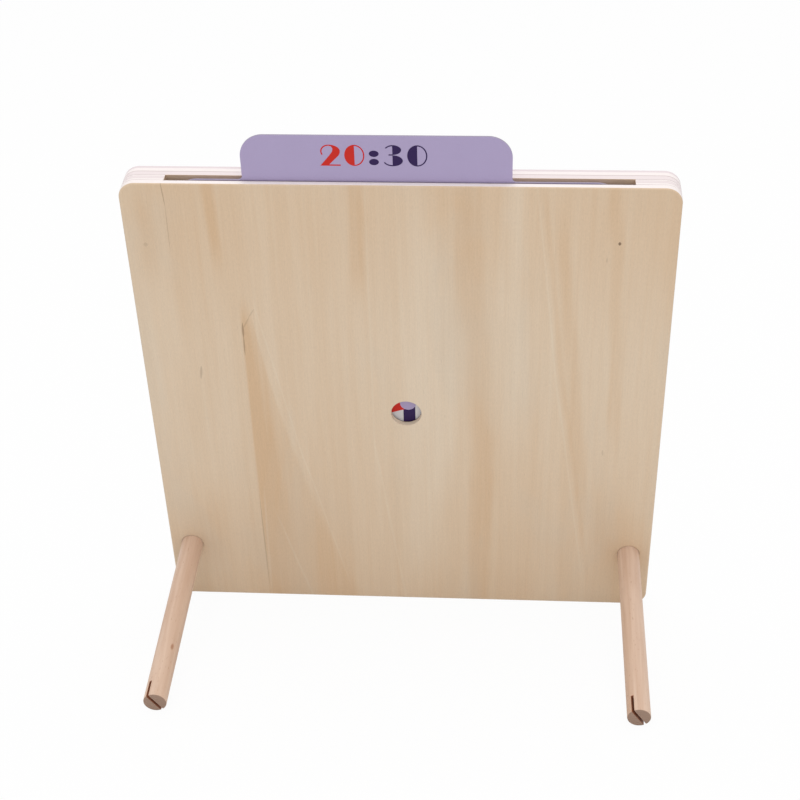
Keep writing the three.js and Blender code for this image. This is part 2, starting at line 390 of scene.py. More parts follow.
    @staticmethod
    def modify(piece: Piece, kind: str, **settings: object) -> None:
        """Add a modifier and apply it.

        Args:
            piece: the piece.
            kind: the modifier's type.
            settings: its properties.
        """
        Bench.alone(piece)
        bpy.ops.object.modifier_add(type=kind)
        modifier = piece.modifiers[-1]
        for name, value in settings.items():
            setattr(modifier, name, value)
        bpy.ops.object.modifier_apply(modifier=modifier.name)

    @staticmethod
    def carve(piece: Piece, tool: Piece) -> None:
        """Cut a tool from a piece, and put the tool away."""
        Bench.modify(piece, "BOOLEAN", operation="DIFFERENCE", solver="EXACT", object=tool)
        bpy.data.objects.remove(tool, do_unlink=True)

    @staticmethod
    def bore(piece: Piece, middle: Vector, radius: float, front: float, back: float) -> None:
        """Cut a round hole along y, between two depths."""
        Bench.carve(piece, Bench.rod("bore tool", middle, radius, front, back))

    @staticmethod
    def ease(piece: Piece, width: float, sharper_than: float = 40, steps: int = 2) -> None:
        """Break every sharp edge.

        Args:
            piece: the piece.
            width: how much of the edge goes.
            sharper_than: the least turn of an edge that counts as sharp, in degrees.
            steps: faces across each edge.
        """
        Bench.modify(
            piece,
            "BEVEL",
            width=width,
            segments=steps,
            limit_method="ANGLE",
            angle_limit=math.radians(sharper_than),
            use_clamp_overlap=True,
        )

    @staticmethod
    def join(name: str, pieces: Sequence[Piece]) -> Piece:
        """Join several pieces into one.

        Args:
            name: the joined piece's name.
            pieces: what is joined.

        Returns:
            The joined piece, at the origin.
        """
        Bench.alone(pieces[0])
        for piece in pieces:
            piece.select_set(True)
        bpy.ops.object.transform_apply(location=True, rotation=True, scale=True)
        bpy.ops.object.join()
        joined = bpy.context.active_object
        joined.name = name
        return joined

    @staticmethod
    def smooth(piece: Piece, angle: float = 35) -> None:
        """Shade round surfaces smooth and keep broad faces flat.

        Args:
            piece: the piece.
            angle: the least turn between two faces that stays an edge, in degrees.
        """
        Bench.alone(piece)
        bpy.ops.object.shade_smooth_by_angle(angle=math.radians(angle))
        Bench.modify(piece, "WEIGHTED_NORMAL", keep_sharp=True, weight=80)


# --------------------------------------------------------------------------- handing over


@dataclass
class Workshop:
    """The board's axes, and the way that a finished piece is handed over."""

    axes: BoardAxes
    made: int = 0

    def hand_over(self, piece: Piece, body: str, slot: str, finish: Material, *replaced: str) -> None:
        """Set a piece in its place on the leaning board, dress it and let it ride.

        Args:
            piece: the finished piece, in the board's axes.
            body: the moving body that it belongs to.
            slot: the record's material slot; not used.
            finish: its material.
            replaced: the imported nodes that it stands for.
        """
        piece.matrix_world = self.axes.place
        Bench.apply(piece)
        piece.data.materials.clear()
        piece.data.materials.append(finish)
        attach(piece, body)
        if replaced:
            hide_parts(*replaced)
        self.made += 1
        log.info("%s: %d faces on %s", piece.name, len(piece.data.polygons), body)


# --------------------------------------------------------------------------- nodes


@dataclass(frozen=True, eq=False)
class Signal:
    """A value on its way between nodes. Arithmetic on it adds Math nodes to its sheet."""

    sheet: "Sheet"
    socket: bpy.types.NodeSocket

    def __add__(self, other: "Feed") -> "Signal":
        """This plus another."""
        return self.sheet.math("ADD", self, other)

    def __sub__(self, other: "Feed") -> "Signal":
        """This less another."""
        return self.sheet.math("SUBTRACT", self, other)

    def __rsub__(self, other: "Feed") -> "Signal":
        """Another less this."""
        return self.sheet.math("SUBTRACT", other, self)

    def __mul__(self, other: "Feed") -> "Signal":
        """This times another."""
        return self.sheet.math("MULTIPLY", self, other)

    def __truediv__(self, other: "Feed") -> "Signal":
        """This divided by another."""
        return self.sheet.math("DIVIDE", self, other)

    def __abs__(self) -> "Signal":
        """This without its sign."""
        return self.sheet.math("ABSOLUTE", self)


Feed = Union[Signal, float, Sequence[float]]
Signals = dict[str, Signal]


class Sheet:
    """Places and wires the nodes of one material or one node group."""

    columns = 12
    column_width = 220
    row_height = 260

    def __init__(self, tree: bpy.types.NodeTree) -> None:
        """Start on an empty tree."""
        self.tree = tree
        tree.nodes.clear()

    def add(self, kind: str, **settings: object) -> bpy.types.Node:
        """Add a node to the right of the last one, in rows.

        Args:
            kind: the node's type.
            settings: its properties.

        Returns:
            The node.
        """
        node = self.tree.nodes.new(kind)
        row, column = divmod(len(self.tree.nodes), self.columns)
        node.location = (self.column_width * column, -self.row_height * row)
        for name, value in settings.items():
            setattr(node, name, value)
        return node

    def feed(self, socket: bpy.types.NodeSocket, value: Feed) -> None:
        """Wire a signal into a socket, or set the socket's value.

        Args:
            socket: the input.
            value: what it gets.
        """
        if isinstance(value, Signal):
            self.tree.links.new(value.socket, socket)
        elif socket.type == "RGBA":
            socket.default_value = (*value[:3], 1.0)
        else:
            socket.default_value = value

    def feed_all(self, node: bpy.types.Node, values: Sequence[Feed]) -> Signal:
        """Feed a node's inputs in order.

        Args:
            node: the node.
            values: what its first inputs get.

        Returns:
            The node's first output.
        """
        for socket, value in zip(node.inputs, values):
            self.feed(socket, value)
        return Signal(self, node.outputs[0])

    def feed_named(self, node: bpy.types.Node, values: dict[str, Feed]) -> None:
        """Feed a node's inputs by name; an underscore in a name stands for a space."""
        for name, value in values.items():
            self.feed(node.inputs[name.replace("_", " ")], value)

    def show(self, kind: str, shader: Signal) -> None:
        """Add an output node of a kind, and wire a shader into it."""
        self.feed_named(self.add(kind), {"Surface": shader})

    def math(self, operation: str, *values: Feed, clamp: bool = False) -> Signal:
        """Add a Math node and take its result, which stays within 0 to 1 if clamped."""
        node = self.add("ShaderNodeMath", operation=operation, use_clamp=clamp)
        return self.feed_all(node, values)

    def vector(self, operation: str, *values: Feed) -> Signal:
        """Add a Vector Math node.

        Args:
            operation: what it does.
            values: the vectors that it works on.

        Returns:
            The result: a number for a product, a length or a distance, or else a vector.
        """
        node = self.add("ShaderNodeVectorMath", operation=operation)
        self.feed_all(node, values)
        number = operation in ("DOT_PRODUCT", "LENGTH", "DISTANCE")
        return Signal(self, node.outputs["Value" if number else "Vector"])

    def split(self, vector: Feed) -> tuple[Signal, ...]:
        """Take a vector apart.

        Args:
            vector: the vector.

        Returns:
            Its x, y and z.
        """
        node = self.add("ShaderNodeSeparateXYZ")
        self.feed(node.inputs[0], vector)
        return tuple(Signal(self, output) for output in node.outputs)

    def gather(self, x: Feed, y: Feed, z: Feed) -> Signal:
        """A vector from x, y and z."""
        return self.feed_all(self.add("ShaderNodeCombineXYZ"), (x, y, z))

    def noise(self, at: Feed, detail: float = 3.0, rough: float = 0.5, bend: float = 0.0) -> Signal:
        """Add a noise whose lumps are one unit across.

        Args:
            at: where it is read.
            detail: how many finer layers it has.
            rough: how strong they are.
            bend: how far it is distorted.

        Returns:
            The noise, about 0 to 1.
        """
        node = self.add("ShaderNodeTexNoise", noise_dimensions="3D")
        settings = {"Vector": at, "Scale": 1.0, "Detail": detail, "Roughness": rough, "Distortion": bend}
        self.feed_named(node, settings)
        return Signal(self, node.outputs[0])

    def span(self, value: Feed, low: Feed, high: Feed, to_low: float = 0.0, to_high: float = 1.0) -> Signal:
        """Ease a value from one range, which may run downwards, to another that it stays within."""
        node = self.add("ShaderNodeMapRange", interpolation_type="SMOOTHSTEP", clamp=True)
        return self.feed_all(node, (value, low, high, to_low, to_high))

    def mix(self, share: Feed, a: Feed, b: Feed, blend: str = "MIX") -> Signal:
        """Mix two colours.

        Args:
            share: how much of the second shows.
            a: the first colour.
            b: the second colour.
            blend: how they are mixed.

        Returns:
            The mixed colour.
        """
        node = self.add("ShaderNodeMix", data_type="RGBA", blend_type=blend)
        colours = [socket for socket in node.inputs if socket.type == "RGBA"]
        self.feed(node.inputs[0], share)
        self.feed(colours[0], a)
        self.feed(colours[1], b)
        return Signal(self, next(output for output in node.outputs if output.type == "RGBA"))

    def shaded(self, colour: Feed, shade: Signal) -> Signal:
        """A colour made darker or lighter by a number about 1."""
        return self.mix(1.0, colour, self.gather(shade, shade, shade), "MULTIPLY")

    def white_to_the_eye(self, lit: bpy.types.Node, white: bpy.types.Node, share: float) -> Signal:
        """Show white to the camera, in gloss and in glass, and something else to the object.

        Args:
            lit: the shader that the object gets its light from.
            white: the plain white shader.
            share: how much of the white the camera sees.

        Returns:
            The mixed shader.
        """
        rays = self.add("ShaderNodeLightPath").outputs
        camera, glossy, through = (
            Signal(self, rays[f"Is {kind} Ray"]) for kind in ("Camera", "Glossy", "Transmission")
        )
        seen = self.math("MAXIMUM", self.math("MAXIMUM", camera, glossy), through)
        blend = self.add("ShaderNodeMixShader")
        return self.feed_all(
            blend, (seen * share, Signal(self, lit.outputs[0]), Signal(self, white.outputs[0]))
        )


class Surface(Sheet):
    """One material's sheet, with its shader and the place on the board in millimetres."""

    specular = 0.35
    bump_strength = 0.6

    def __init__(self, material: Material, axes: BoardAxes, roughness: float) -> None:
        """Lay out the shader, and the place in the board's axes.

        Args:
            material: a new material.
            axes: the board's axes.
            roughness: the surface's roughness, where no pattern changes it.
        """
        material.use_nodes = True
        super().__init__(material.node_tree)
        self.axes = axes
        self.shader = self.add("ShaderNodeBsdfPrincipled")
        self.dress(Roughness=roughness, Specular_IOR_Level=self.specular)
        self.show("ShaderNodeOutputMaterial", Signal(self, self.shader.outputs[0]))
        mapping = self.add("ShaderNodeMapping", vector_type="TEXTURE")
        self.feed_named(
            mapping,
            {
                "Vector": Signal(self, self.add("ShaderNodeTexCoord").outputs["Object"]),
                "Location": axes.place.translation,
                "Rotation": (-axes.lean, 0, 0),
                "Scale": (MM, MM, MM),
            },
        )
        self.place = Signal(self, mapping.outputs[0])

    def dress(self, **values: Feed) -> None:
        """Feed the shader's inputs; an underscore in a name stands for a space."""
        self.feed_named(self.shader, values)

    def scaled(self, x: float, y: float, z: float) -> Signal:
        """The place multiplied along each axis."""
        return self.vector("MULTIPLY", self.place, (x, y, z))

    def relief(self, height: Signal, depth: float) -> None:
        """Raise the surface by a pattern.

        Args:
            height: the pattern, about 0 to 1.
            depth: how far it rises, in metres.
        """
        bump = self.add("ShaderNodeBump")
        self.feed_named(bump, {"Strength": self.bump_strength, "Distance": depth, "Height": height})
        self.dress(Normal=Signal(self, bump.outputs[0]))


FLOAT = "NodeSocketFloat"
VECTOR = "NodeSocketVector"


class Effect:
    """A node group that several finishes use. It is built once, on first use."""

    name = ""
    takes: dict[str, str] = {}
    gives: tuple[str, ...] = ()

    @classmethod
    def tree(cls) -> bpy.types.NodeTree:
        """Find the effect's node group, or build it.

        Returns:
            The node group.
        """
        found = bpy.data.node_groups.get(cls.name)
        if found:
            return found
        tree = bpy.data.node_groups.new(cls.name, "ShaderNodeTree")
        sheet = Sheet(tree)
        for label, kind in cls.takes.items():
            tree.interface.new_socket(name=label, in_out="INPUT", socket_type=kind)
        for label in cls.gives:
            tree.interface.new_socket(name=label, in_out="OUTPUT", socket_type=FLOAT)
        start = sheet.add("NodeGroupInput")
        end = sheet.add("NodeGroupOutput")
        given = {label: Signal(sheet, start.outputs[label]) for label in cls.takes}
        sheet.feed_named(end, cls.draw(sheet, given))
        return tree

    @classmethod
    def on(cls, sheet: Sheet, **values: Feed) -> Signals:
        """Place the effect on a sheet.

        Args:
            sheet: the sheet.
            values: what its inputs get; an underscore in a name stands for a space.

        Returns:
            Its outputs by name.
        """
        node = sheet.add("ShaderNodeGroup", node_tree=cls.tree())
        sheet.feed_named(node, values)
        return {output.name: Signal(sheet, output) for output in node.outputs}

    @classmethod
    def draw(cls, sheet: Sheet, given: Signals) -> Signals:
        """Wire the effect; each effect has its own."""
        raise NotImplementedError


class Grain(Effect):
    """Wood grain in layers: broad soft bands, growth lines and fine fibres, all 0 to 1."""

    name = "wood grain"
    takes = {"Place": VECTOR, "Band Width": FLOAT, "Fibre Width": FLOAT, "Stretch": FLOAT}
    gives = ("Bands", "Lines", "Fibres", "Pores")

    @classmethod
    def draw(cls, sheet: Sheet, given: Signals) -> Signals:
        """Stretch four noises along the z of the place, which is in millimetres.

        Args:
            sheet: the group's sheet.
            given: the group's inputs.

        Returns:
            The four layers.
        """
        x, y, z = sheet.split(given["Place"])
        band, fibre = given["Band Width"], given["Fibre Width"]
        reach = band * given["Stretch"]

        def layer(width: Signal, length: Signal, *character: float) -> Signal:
            """Noise of a width across the grain and a length along it."""
            return sheet.noise(sheet.gather(x / width, y / width, z / length), *character)

        return {
            "Bands": layer(band, reach, 2.0, 0.45, 0.6),
            "Lines": layer(band * 0.16, reach * 0.7, 3.0, 0.6, 0.3),
            "Fibres": layer(fibre, fibre * 38.0, 3.0, 0.65),
            "Pores": sheet.span(layer(fibre * 0.8, fibre * 9.0, 1.0, 0.4), 0.68, 0.78),
        }


class Streak(Effect):
    """A soft upright streak that leans from its foot to its head and fades at both ends."""

    name = "grain streak"
    numbers = ("Foot X", "Foot Z", "Head X", "Head Z", "Half Width", "Fade")
    takes = {"Place": VECTOR, **dict.fromkeys(numbers, FLOAT)}
    gives = ("Mask",)

    @classmethod
    def draw(cls, sheet: Sheet, given: Signals) -> Signals:
        """Measure the way to a line that wanders a little.

        Args:
            sheet: the group's sheet.
            given: the group's inputs.

        Returns:
            Where the streak shows.
        """
        x, _, z = sheet.split(given["Place"])
        half, fade = given["Half Width"], given["Fade"]
        rise = z - given["Foot Z"]
        share = rise / (given["Head Z"] - given["Foot Z"])
        line = share * (given["Head X"] - given["Foot X"]) + given["Foot X"]
        wander = sheet.noise(sheet.vector("MULTIPLY", given["Place"], (0.05, 0.2, 0.018)), 2.0) - 0.5
        away = abs(x - (wander * (half * 1.1) + line))
        low_end = sheet.span(rise / fade, -0.5, 0.5)
        high_end = sheet.span((given["Head Z"] - z) / fade, -0.5, 0.5)
        return {"Mask": sheet.span(away / half, 1.0, 0.15) * (low_end * high_end)}


class Scratch(Effect):
    """A fine dark line between two points on a face, tapered at both ends."""

    name = "fine mark"
    takes = {"Place": VECTOR, "From": VECTOR, "To": VECTOR, "Width": FLOAT}
    gives = ("Mask",)

    @classmethod
    def draw(cls, sheet: Sheet, given: Signals) -> Signals:
        """Measure the way to the line in x and z; depth doesn't count.

        Args:
            sheet: the group's sheet.
            given: the group's inputs.

        Returns:
            Where the mark shows.
        """
        flat = sheet.vector("MULTIPLY", given["Place"], (1.0, 0.0, 1.0))
        run = sheet.vector("SUBTRACT", given["To"], given["From"])
        reach = sheet.vector("DOT_PRODUCT", sheet.vector("SUBTRACT", flat, given["From"]), run)
        share = sheet.math("DIVIDE", reach, sheet.vector("DOT_PRODUCT", run, run), clamp=True)
        along = sheet.vector("MULTIPLY", run, sheet.gather(share, share, share))
        away = sheet.vector("DISTANCE", flat, sheet.vector("ADD", given["From"], along))
        swing = (share - 0.5) * 2.0
        taper = 1.1 - swing * swing
        return {"Mask": sheet.span(away / (given["Width"] * taper), 1.0, 0.25)}


class Mottle(Effect):
    """Faint clouds and a fine tooth, for card, fibre, paint and metal."""

    name = "surface mottle"
    takes = {"Place": VECTOR, "Cloud Size": FLOAT, "Tooth Size": FLOAT}
    gives = ("Clouds", "Tooth")

    @classmethod
    def draw(cls, sheet: Sheet, given: Signals) -> Signals:
        """Lay a coarse noise and a fine one over each other.

        Args:
            sheet: the group's sheet.
            given: the group's inputs.

        Returns:
            Both layers, 0 to 1.
        """

        def layer(size: Signal, *character: float) -> Signal:
            """Noise whose lumps have this size."""
            sizes = sheet.gather(size, size, size)
            return sheet.noise(sheet.vector("DIVIDE", given["Place"], sizes), *character)

        clouds = layer(given["Cloud Size"], 3.0, 0.55)
        return {"Clouds": clouds, "Tooth": layer(given["Tooth Size"], 2.0, 0.6)}


# --------------------------------------------------------------------------- finishes


@dataclass(frozen=True)
class Finish:
    """A surface finish. Its patterns read the place on the board, in millimetres."""

    name: str
    roughness: float = 0.55

    def build(self, axes: BoardAxes) -> Material:
        """Make the material.

        Args:
            axes: the board's axes.

        Returns:
            The material.
        """
        material = bpy.data.materials.new(self.name)
        self.lay(Surface(material, axes, self.roughness))
        return material

    def lay(self, on: Surface) -> None:
        """Lay the finish on a surface; each finish has its own way."""
        raise NotImplementedError


class Ply(Enum):
    """How one sheet of veneer in the laminate shows at the board's edge."""

    PALE = paint(238, 229, 227)
    MID = paint(228, 216, 216)
    DUSKY = paint(222, 209, 211)
    GLUE = paint(198, 182, 180)


@dataclass(frozen=True)
class StreakMark:
    """One streak on the back face: its line in millimetres, and how far it darkens the wood."""

    foot: Point
    head: Point
    half_width: float
    strength: float
    fade: float = 30.0


@dataclass(frozen=True)
class FineMark:
    """One fine dark mark on the back face, between two points in millimetres."""

    start: Point
    end: Point
    width: float
    strength: float


@dataclass(frozen=True)
class Tongue:
    """A broad tongue of heartwood: where it starts, and how its width grows as it falls."""

    top: float = 206.0
    left: float = 81.8
    width: float = 5.0
    spread: float = 0.115
    bend: float = 0.00064
    strength: float = 0.72


@dataclass(frozen=True)
class LaminateFinish(Finish):
    """Pale plywood, matt varnished: upright grain on both faces and layered edges."""

    light: Colour = paint(220, 202, 179)
    deep: Colour = paint(208, 177, 143)
    cool: Colour = paint(204, 192, 175)
    bored: Colour = paint(228, 211, 188)
    slot_wall: Colour = paint(216, 189, 164)
    # painted shade: a dark line on the back sheet's inner edge, where the gap to the card lies in shade
    gap_shade: Colour = paint(104, 82, 80)
    mark: Colour = paint(96, 72, 52)
    slot_half: float = 112.5
    slot_floor: float = 22.5
    slot_middle: float = 5.75
    slot_depth: float = 4.7
    # the depth where that painted shade line begins
    gap_shade_at: float = 2.95
    heart: Tongue = Tongue()
    plies: tuple[tuple[Ply, float], ...] = (
        (Ply.PALE, 3.3),
        (Ply.GLUE, 0.2),
        (Ply.PALE, 1.4),
        (Ply.GLUE, 0.2),
        (Ply.MID, 1.7),
        (Ply.GLUE, 0.2),
        (Ply.PALE, 0.9),
        (Ply.GLUE, 0.25),
        (Ply.MID, 3.15),
        (Ply.GLUE, 0.5),
        (Ply.PALE, 2.7),
        (Ply.DUSKY, 2.6),
    )
    streaks: tuple[StreakMark, ...] = (
        StreakMark((21.0, 215), (20.0, 290), 6.0, 0.34),
        StreakMark((-40.5, -20), (-41.0, 125), 9.0, 0.34, 50.0),
        StreakMark((-41.0, 125), (-32.0, 290), 9.5, 0.34, 50.0),
        StreakMark((-97.0, 60), (-79.0, 255), 5.5, 0.26, 50.0),
        StreakMark((-111.0, 120), (-103.0, 290), 5.0, 0.28, 50.0),
        StreakMark((125.0, 225), (124.0, 270), 9.0, 0.30),
        StreakMark((90.0, 232), (92.5, 290), 5.0, 0.32),
        StreakMark((60.0, 120), (57.0, 290), 10.0, 0.12, 60.0),
        StreakMark((-9.0, 20), (-12.0, 260), 22.0, -0.22, 60.0),
        StreakMark((-60.0, 120), (-57.0, 290), 11.0, -0.24, 60.0),
        StreakMark((-81.0, 140), (-66.5, 275), 0.8, -0.18),
        StreakMark((-84.0, 140), (-69.8, 275), 2.2, 0.20),
        StreakMark((-97.0, 25), (-80.5, 150), 0.8, -0.19),
        StreakMark((-100.0, 25), (-84.0, 150), 2.0, 0.16),
        StreakMark((16.3, 90), (15.7, 275), 0.9, -0.15),
        StreakMark((2.0, 0), (16.3, 115), 1.0, -0.17),
        StreakMark((80.2, 5), (78.8, 80), 0.9, -0.30),
        StreakMark((56.0, 0), (72.0, 60), 0.9, -0.30),
        StreakMark((34.5, 14), (56.0, 108), 0.7, -0.20),
        StreakMark((55.0, 102), (74.0, 204), 0.6, -0.17),
        # painted shade: these two broad dark patches at the lower corners stand for the legs' shade on the
        # back face
        StreakMark((128.0, -30), (112.0, 75), 18.0, 0.30, 40.0),
        StreakMark((-132.0, -30), (-112.0, 75), 18.0, 0.30, 40.0),
    )
    fine_marks: tuple[FineMark, ...] = (
        FineMark((113.7, 277.0), (112.7, 262.0), 0.40, 0.34),
        FineMark((112.7, 264.0), (113.1, 236.0), 0.35, 0.22),
        FineMark((74.2, 202.6), (77.6, 197.0), 0.50, 0.18),
        FineMark((77.2, 197.4), (81.0, 190.0), 0.60, 0.20),
        FineMark((81.0, 194.0), (81.1, 184.0), 0.75, 0.46),
        FineMark((81.1, 186.0), (81.3, 173.0), 0.50, 0.42),
        FineMark((81.6, 78.0), (81.2, 8.0), 0.40, 0.26),
        FineMark((104.9, 166.0), (105.9, 157.0), 0.90, 0.26),
        FineMark((-106.6, 245.0), (-106.7, 243.0), 1.00, 0.80),
        FineMark((-104.8, 114.5), (-105.2, 110.5), 0.70, 0.16),
        FineMark((125.0, 241.5), (124.8, 239.0), 1.60, 0.16),
        FineMark((-101.0, 236.0), (-101.0, 233.0), 0.50, 0.20),
    )

    @property
    def thickness(self) -> float:
        """Thickness of the whole board."""
        return sum(size for _, size in self.plies)

    def lay(self, on: Surface) -> None:
        """Show upright veneer on both faces and the cut plies everywhere else.

        Args:
            on: the surface.
        """
        _, y, _ = on.split(on.place)
        depth = y * -1.0
        grain = Grain.on(on, Place=on.place, Band_Width=24.0, Fibre_Width=0.55, Stretch=9.0)
        edge = self.edge_colour(on, depth)
        face = self.face_colour(on, grain, depth)
        smoother, rougher = self.roughness - 0.05, self.roughness + 0.06
        on.dress(
            Base_Color=on.mix(self.face_shows(on, depth), edge, face),
            Roughness=on.span(grain["Fibres"], 0.3, 0.7, smoother, rougher),
        )
        on.relief(grain["Lines"] * 0.5 + grain["Fibres"], 0.06 * MM)

    def face_shows(self, on: Surface, depth: Signal) -> Signal:
        """Tell veneer from edge by the depth: it is seen on both outer faces."""
        back, dial = (on.span(way, 0.62, 0.40) for way in (depth, abs(depth - self.thickness)))
        return on.math("MAXIMUM", back, dial)

    def face_colour(self, on: Surface, grain: Signals, depth: Signal) -> Signal:
        """Colour the upright veneer, with the streaks and marks of the back face.

        Args:
            on: the surface.
            grain: the layers of the veneer's grain.
            depth: the depth under the back face.

        Returns:
            The veneer's colour.
        """
        on_back = on.span(depth, 2.0, 1.0)
        tone = on.math("MULTIPLY_ADD", self.streaked(on), on_back, self.figure(on, grain), clamp=True)
        colour = on.mix(tone, self.light, self.deep)
        clouds = on.noise(on.scaled(0.026, 0.026, 0.008), 3.0, 0.55, 0.6)
        colour = on.mix(on.span(clouds, 0.48, 0.70, 0.0, 0.26), colour, self.cool)
        fuzz = (on.noise(on.scaled(1.4, 1.4, 0.5), 3.0, 0.75) - 0.5) * 0.22 + 1.0
        colour = on.shaded(colour, (grain["Fibres"] - 0.5) * 0.14 + fuzz)
        colour = on.mix(grain["Pores"] * 0.10, colour, self.mark)
        return on.mix(self.marked(on) * on_back, colour, self.mark)

    def figure(self, on: Surface, grain: Signals) -> Signal:
        """Darken the veneer by its own bands and growth lines, a little at the head, and at the foot with
        painted shade.

        Args:
            on: the surface.
            grain: the layers of the veneer's grain.

        Returns:
            How dark the wood is.
        """
        _, _, z = on.split(on.place)
        # a little darker towards the head; towards the foot the darkening is painted shade, for the legs'
        # shade and the dimmer light low on the board
        ends = on.span(z, 165.0, 265.0, 0.0, 0.26) + on.span(z, 150.0, 0.0, 0.22, 0.42)
        bands = on.span(grain["Bands"], 0.3, 0.72) * 0.22
        return (grain["Lines"] - 0.5) * 0.52 + (bands + ends)

    def streaked(self, on: Surface) -> Signal:
        """Darken or lighten the wood by the tongue and all the streaks; the two broad streaks at the lower
        corners are painted shade of the legs.

        Args:
            on: the surface.

        Returns:
            What they add.
        """
        marks = self.tongue(on)
        for streak in self.streaks:
            effect = Streak.on(
                on,
                Place=on.place,
                Foot_X=streak.foot[0],
                Foot_Z=streak.foot[1],
                Head_X=streak.head[0],
                Head_Z=streak.head[1],
                Half_Width=streak.half_width,
                Fade=streak.fade,
            )
            marks = effect["Mask"] * streak.strength + marks
        return marks

    def tongue(self, on: Surface) -> Signal:
        """Darken the heartwood, which is straight on one side and spreads on the other.

        Args:
            on: the surface.

        Returns:
            What it adds.
        """
        x, _, z = on.split(on.place)
        fall = self.heart.top - z
        width = fall * (fall * self.heart.bend + self.heart.spread) + self.heart.width
        across = self.heart.left - x
        share = across / width
        inside = on.span(across, -0.8, 1.4) * on.span(share, 1.04, 0.90)
        fading = on.span(fall, 60.0, 190.0, 1.0, 0.55) * on.span(fall, -8.0, 22.0)
        return inside * (on.span(share, 1.0, 0.0, 0.45, 1.0) * fading) * self.heart.strength

    def marked(self, on: Surface) -> Signal:
        """Find the split and the small marks.

        Args:
            on: the surface.

        Returns:
            How strongly they show.
        """
        fine: Feed = 0.0
        for mark in self.fine_marks:
            (x0, z0), (x1, z1) = mark.start, mark.end
            ends = {"From": (x0, 0.0, z0), "To": (x1, 0.0, z1)}
            effect = Scratch.on(on, Place=on.place, Width=mark.width, **ends)
            fine = on.math("MAXIMUM", effect["Mask"] * mark.strength, fine)
        return fine

    def edge_colour(self, on: Surface, depth: Signal) -> Signal:
        """Colour the cut plies and the bare wood in the slot and in the hole, with a painted shade line
        where the gap to the card lies in shade.

        Args:
            on: the surface.
            depth: the depth under the back face.

        Returns:
            The colour of every cut face.
        """
        waver = (on.noise(on.scaled(0.05, 0.05, 0.05), 2.0) - 0.5) * 0.5
        colour = self.ply_colour(on, (waver + depth) / self.thickness)
        colour = on.mix(self.inside_slot(on, depth), colour, self.slot_wall)
        colour = on.mix(self.inside_hole(on), colour, self.bored)
        # painted shade along the gap between the back sheet and the card, at the slot's mouth and round the
        # hole
        colour = on.mix(self.gap_shade_line(on, depth), colour, self.gap_shade)
        along = on.noise(on.scaled(0.12, 4.0, 0.12), 3.0, 0.6)
        speckle = on.noise(on.scaled(2.2, 2.2, 2.2), 2.0, 0.6)
        return on.shaded(colour, (along + speckle - 1.0) * 0.08 + 1.0)

    def ply_colour(self, on: Surface, share: Signal) -> Signal:
        """Colour the plies in bands, pale and dusky in turn, with glue lines.

        Args:
            on: the surface.
            share: the depth as a share of the board's thickness.

        Returns:
            The colour of the ply at that depth.
        """
        ramp = on.add("ShaderNodeValToRGB")
        ramp.color_ramp.interpolation = "CONSTANT"
        stops = ramp.color_ramp.elements
        stops.remove(stops[-1])
        reached = 0.0
        for index, (ply, size) in enumerate(self.plies):
            stop = stops.new(reached / self.thickness) if index else stops[0]
            stop.color = (*ply.value, 1.0)
            reached += size
        return on.feed_all(ramp, [share])

    def beside_slot(self, on: Surface) -> Signal:
        """Find the slot's width and height, at any depth.

        Args:
            on: the surface.

        Returns:
            1 within the slot's outline.
        """
        x, _, z = on.split(on.place)
        wide = on.span(abs(x), self.slot_half + 0.2, self.slot_half)
        return wide * on.span(z, self.slot_floor - 0.2, self.slot_floor)

    def inside_slot(self, on: Surface, depth: Signal) -> Signal:
        """Find the walls of the card slot.

        Args:
            on: the surface.
            depth: the depth under the back face.

        Returns:
            1 on the walls.
        """
        half = self.slot_depth / 2
        deep = on.span(abs(depth - self.slot_middle), half + 0.25, half + 0.12)
        return self.beside_slot(on) * deep

    def inside_hole(self, on: Surface) -> Signal:
        """Find the wall of the round hole.

        Args:
            on: the surface.

        Returns:
            1 on the wall.
        """
        x, _, z = on.split(on.place)
        hole = on.axes.hole() / MM
        radius = HOLE_RADIUS / MM
        away = on.vector("DISTANCE", on.gather(x, 0.0, z), (hole.x, 0.0, hole.z))
        return on.span(away, radius + 0.6, radius + 0.4)

    def gap_shade_line(self, on: Surface, depth: Signal) -> Signal:
        """Find the painted shade line on the back sheet's slot side, at the slot's mouth and the hole,
        where the gap to the card lies in shade.

        Args:
            on: the surface.
            depth: the depth under the back face.

        Returns:
            1 on the painted shade line.
        """
        bare = on.math("MAXIMUM", self.inside_hole(on), self.beside_slot(on))
        begun = on.span(depth, self.gap_shade_at - 0.1, self.gap_shade_at + 0.05)
        return begun * on.span(depth, self.gap_shade_at + 0.75, self.gap_shade_at + 0.6) * bare


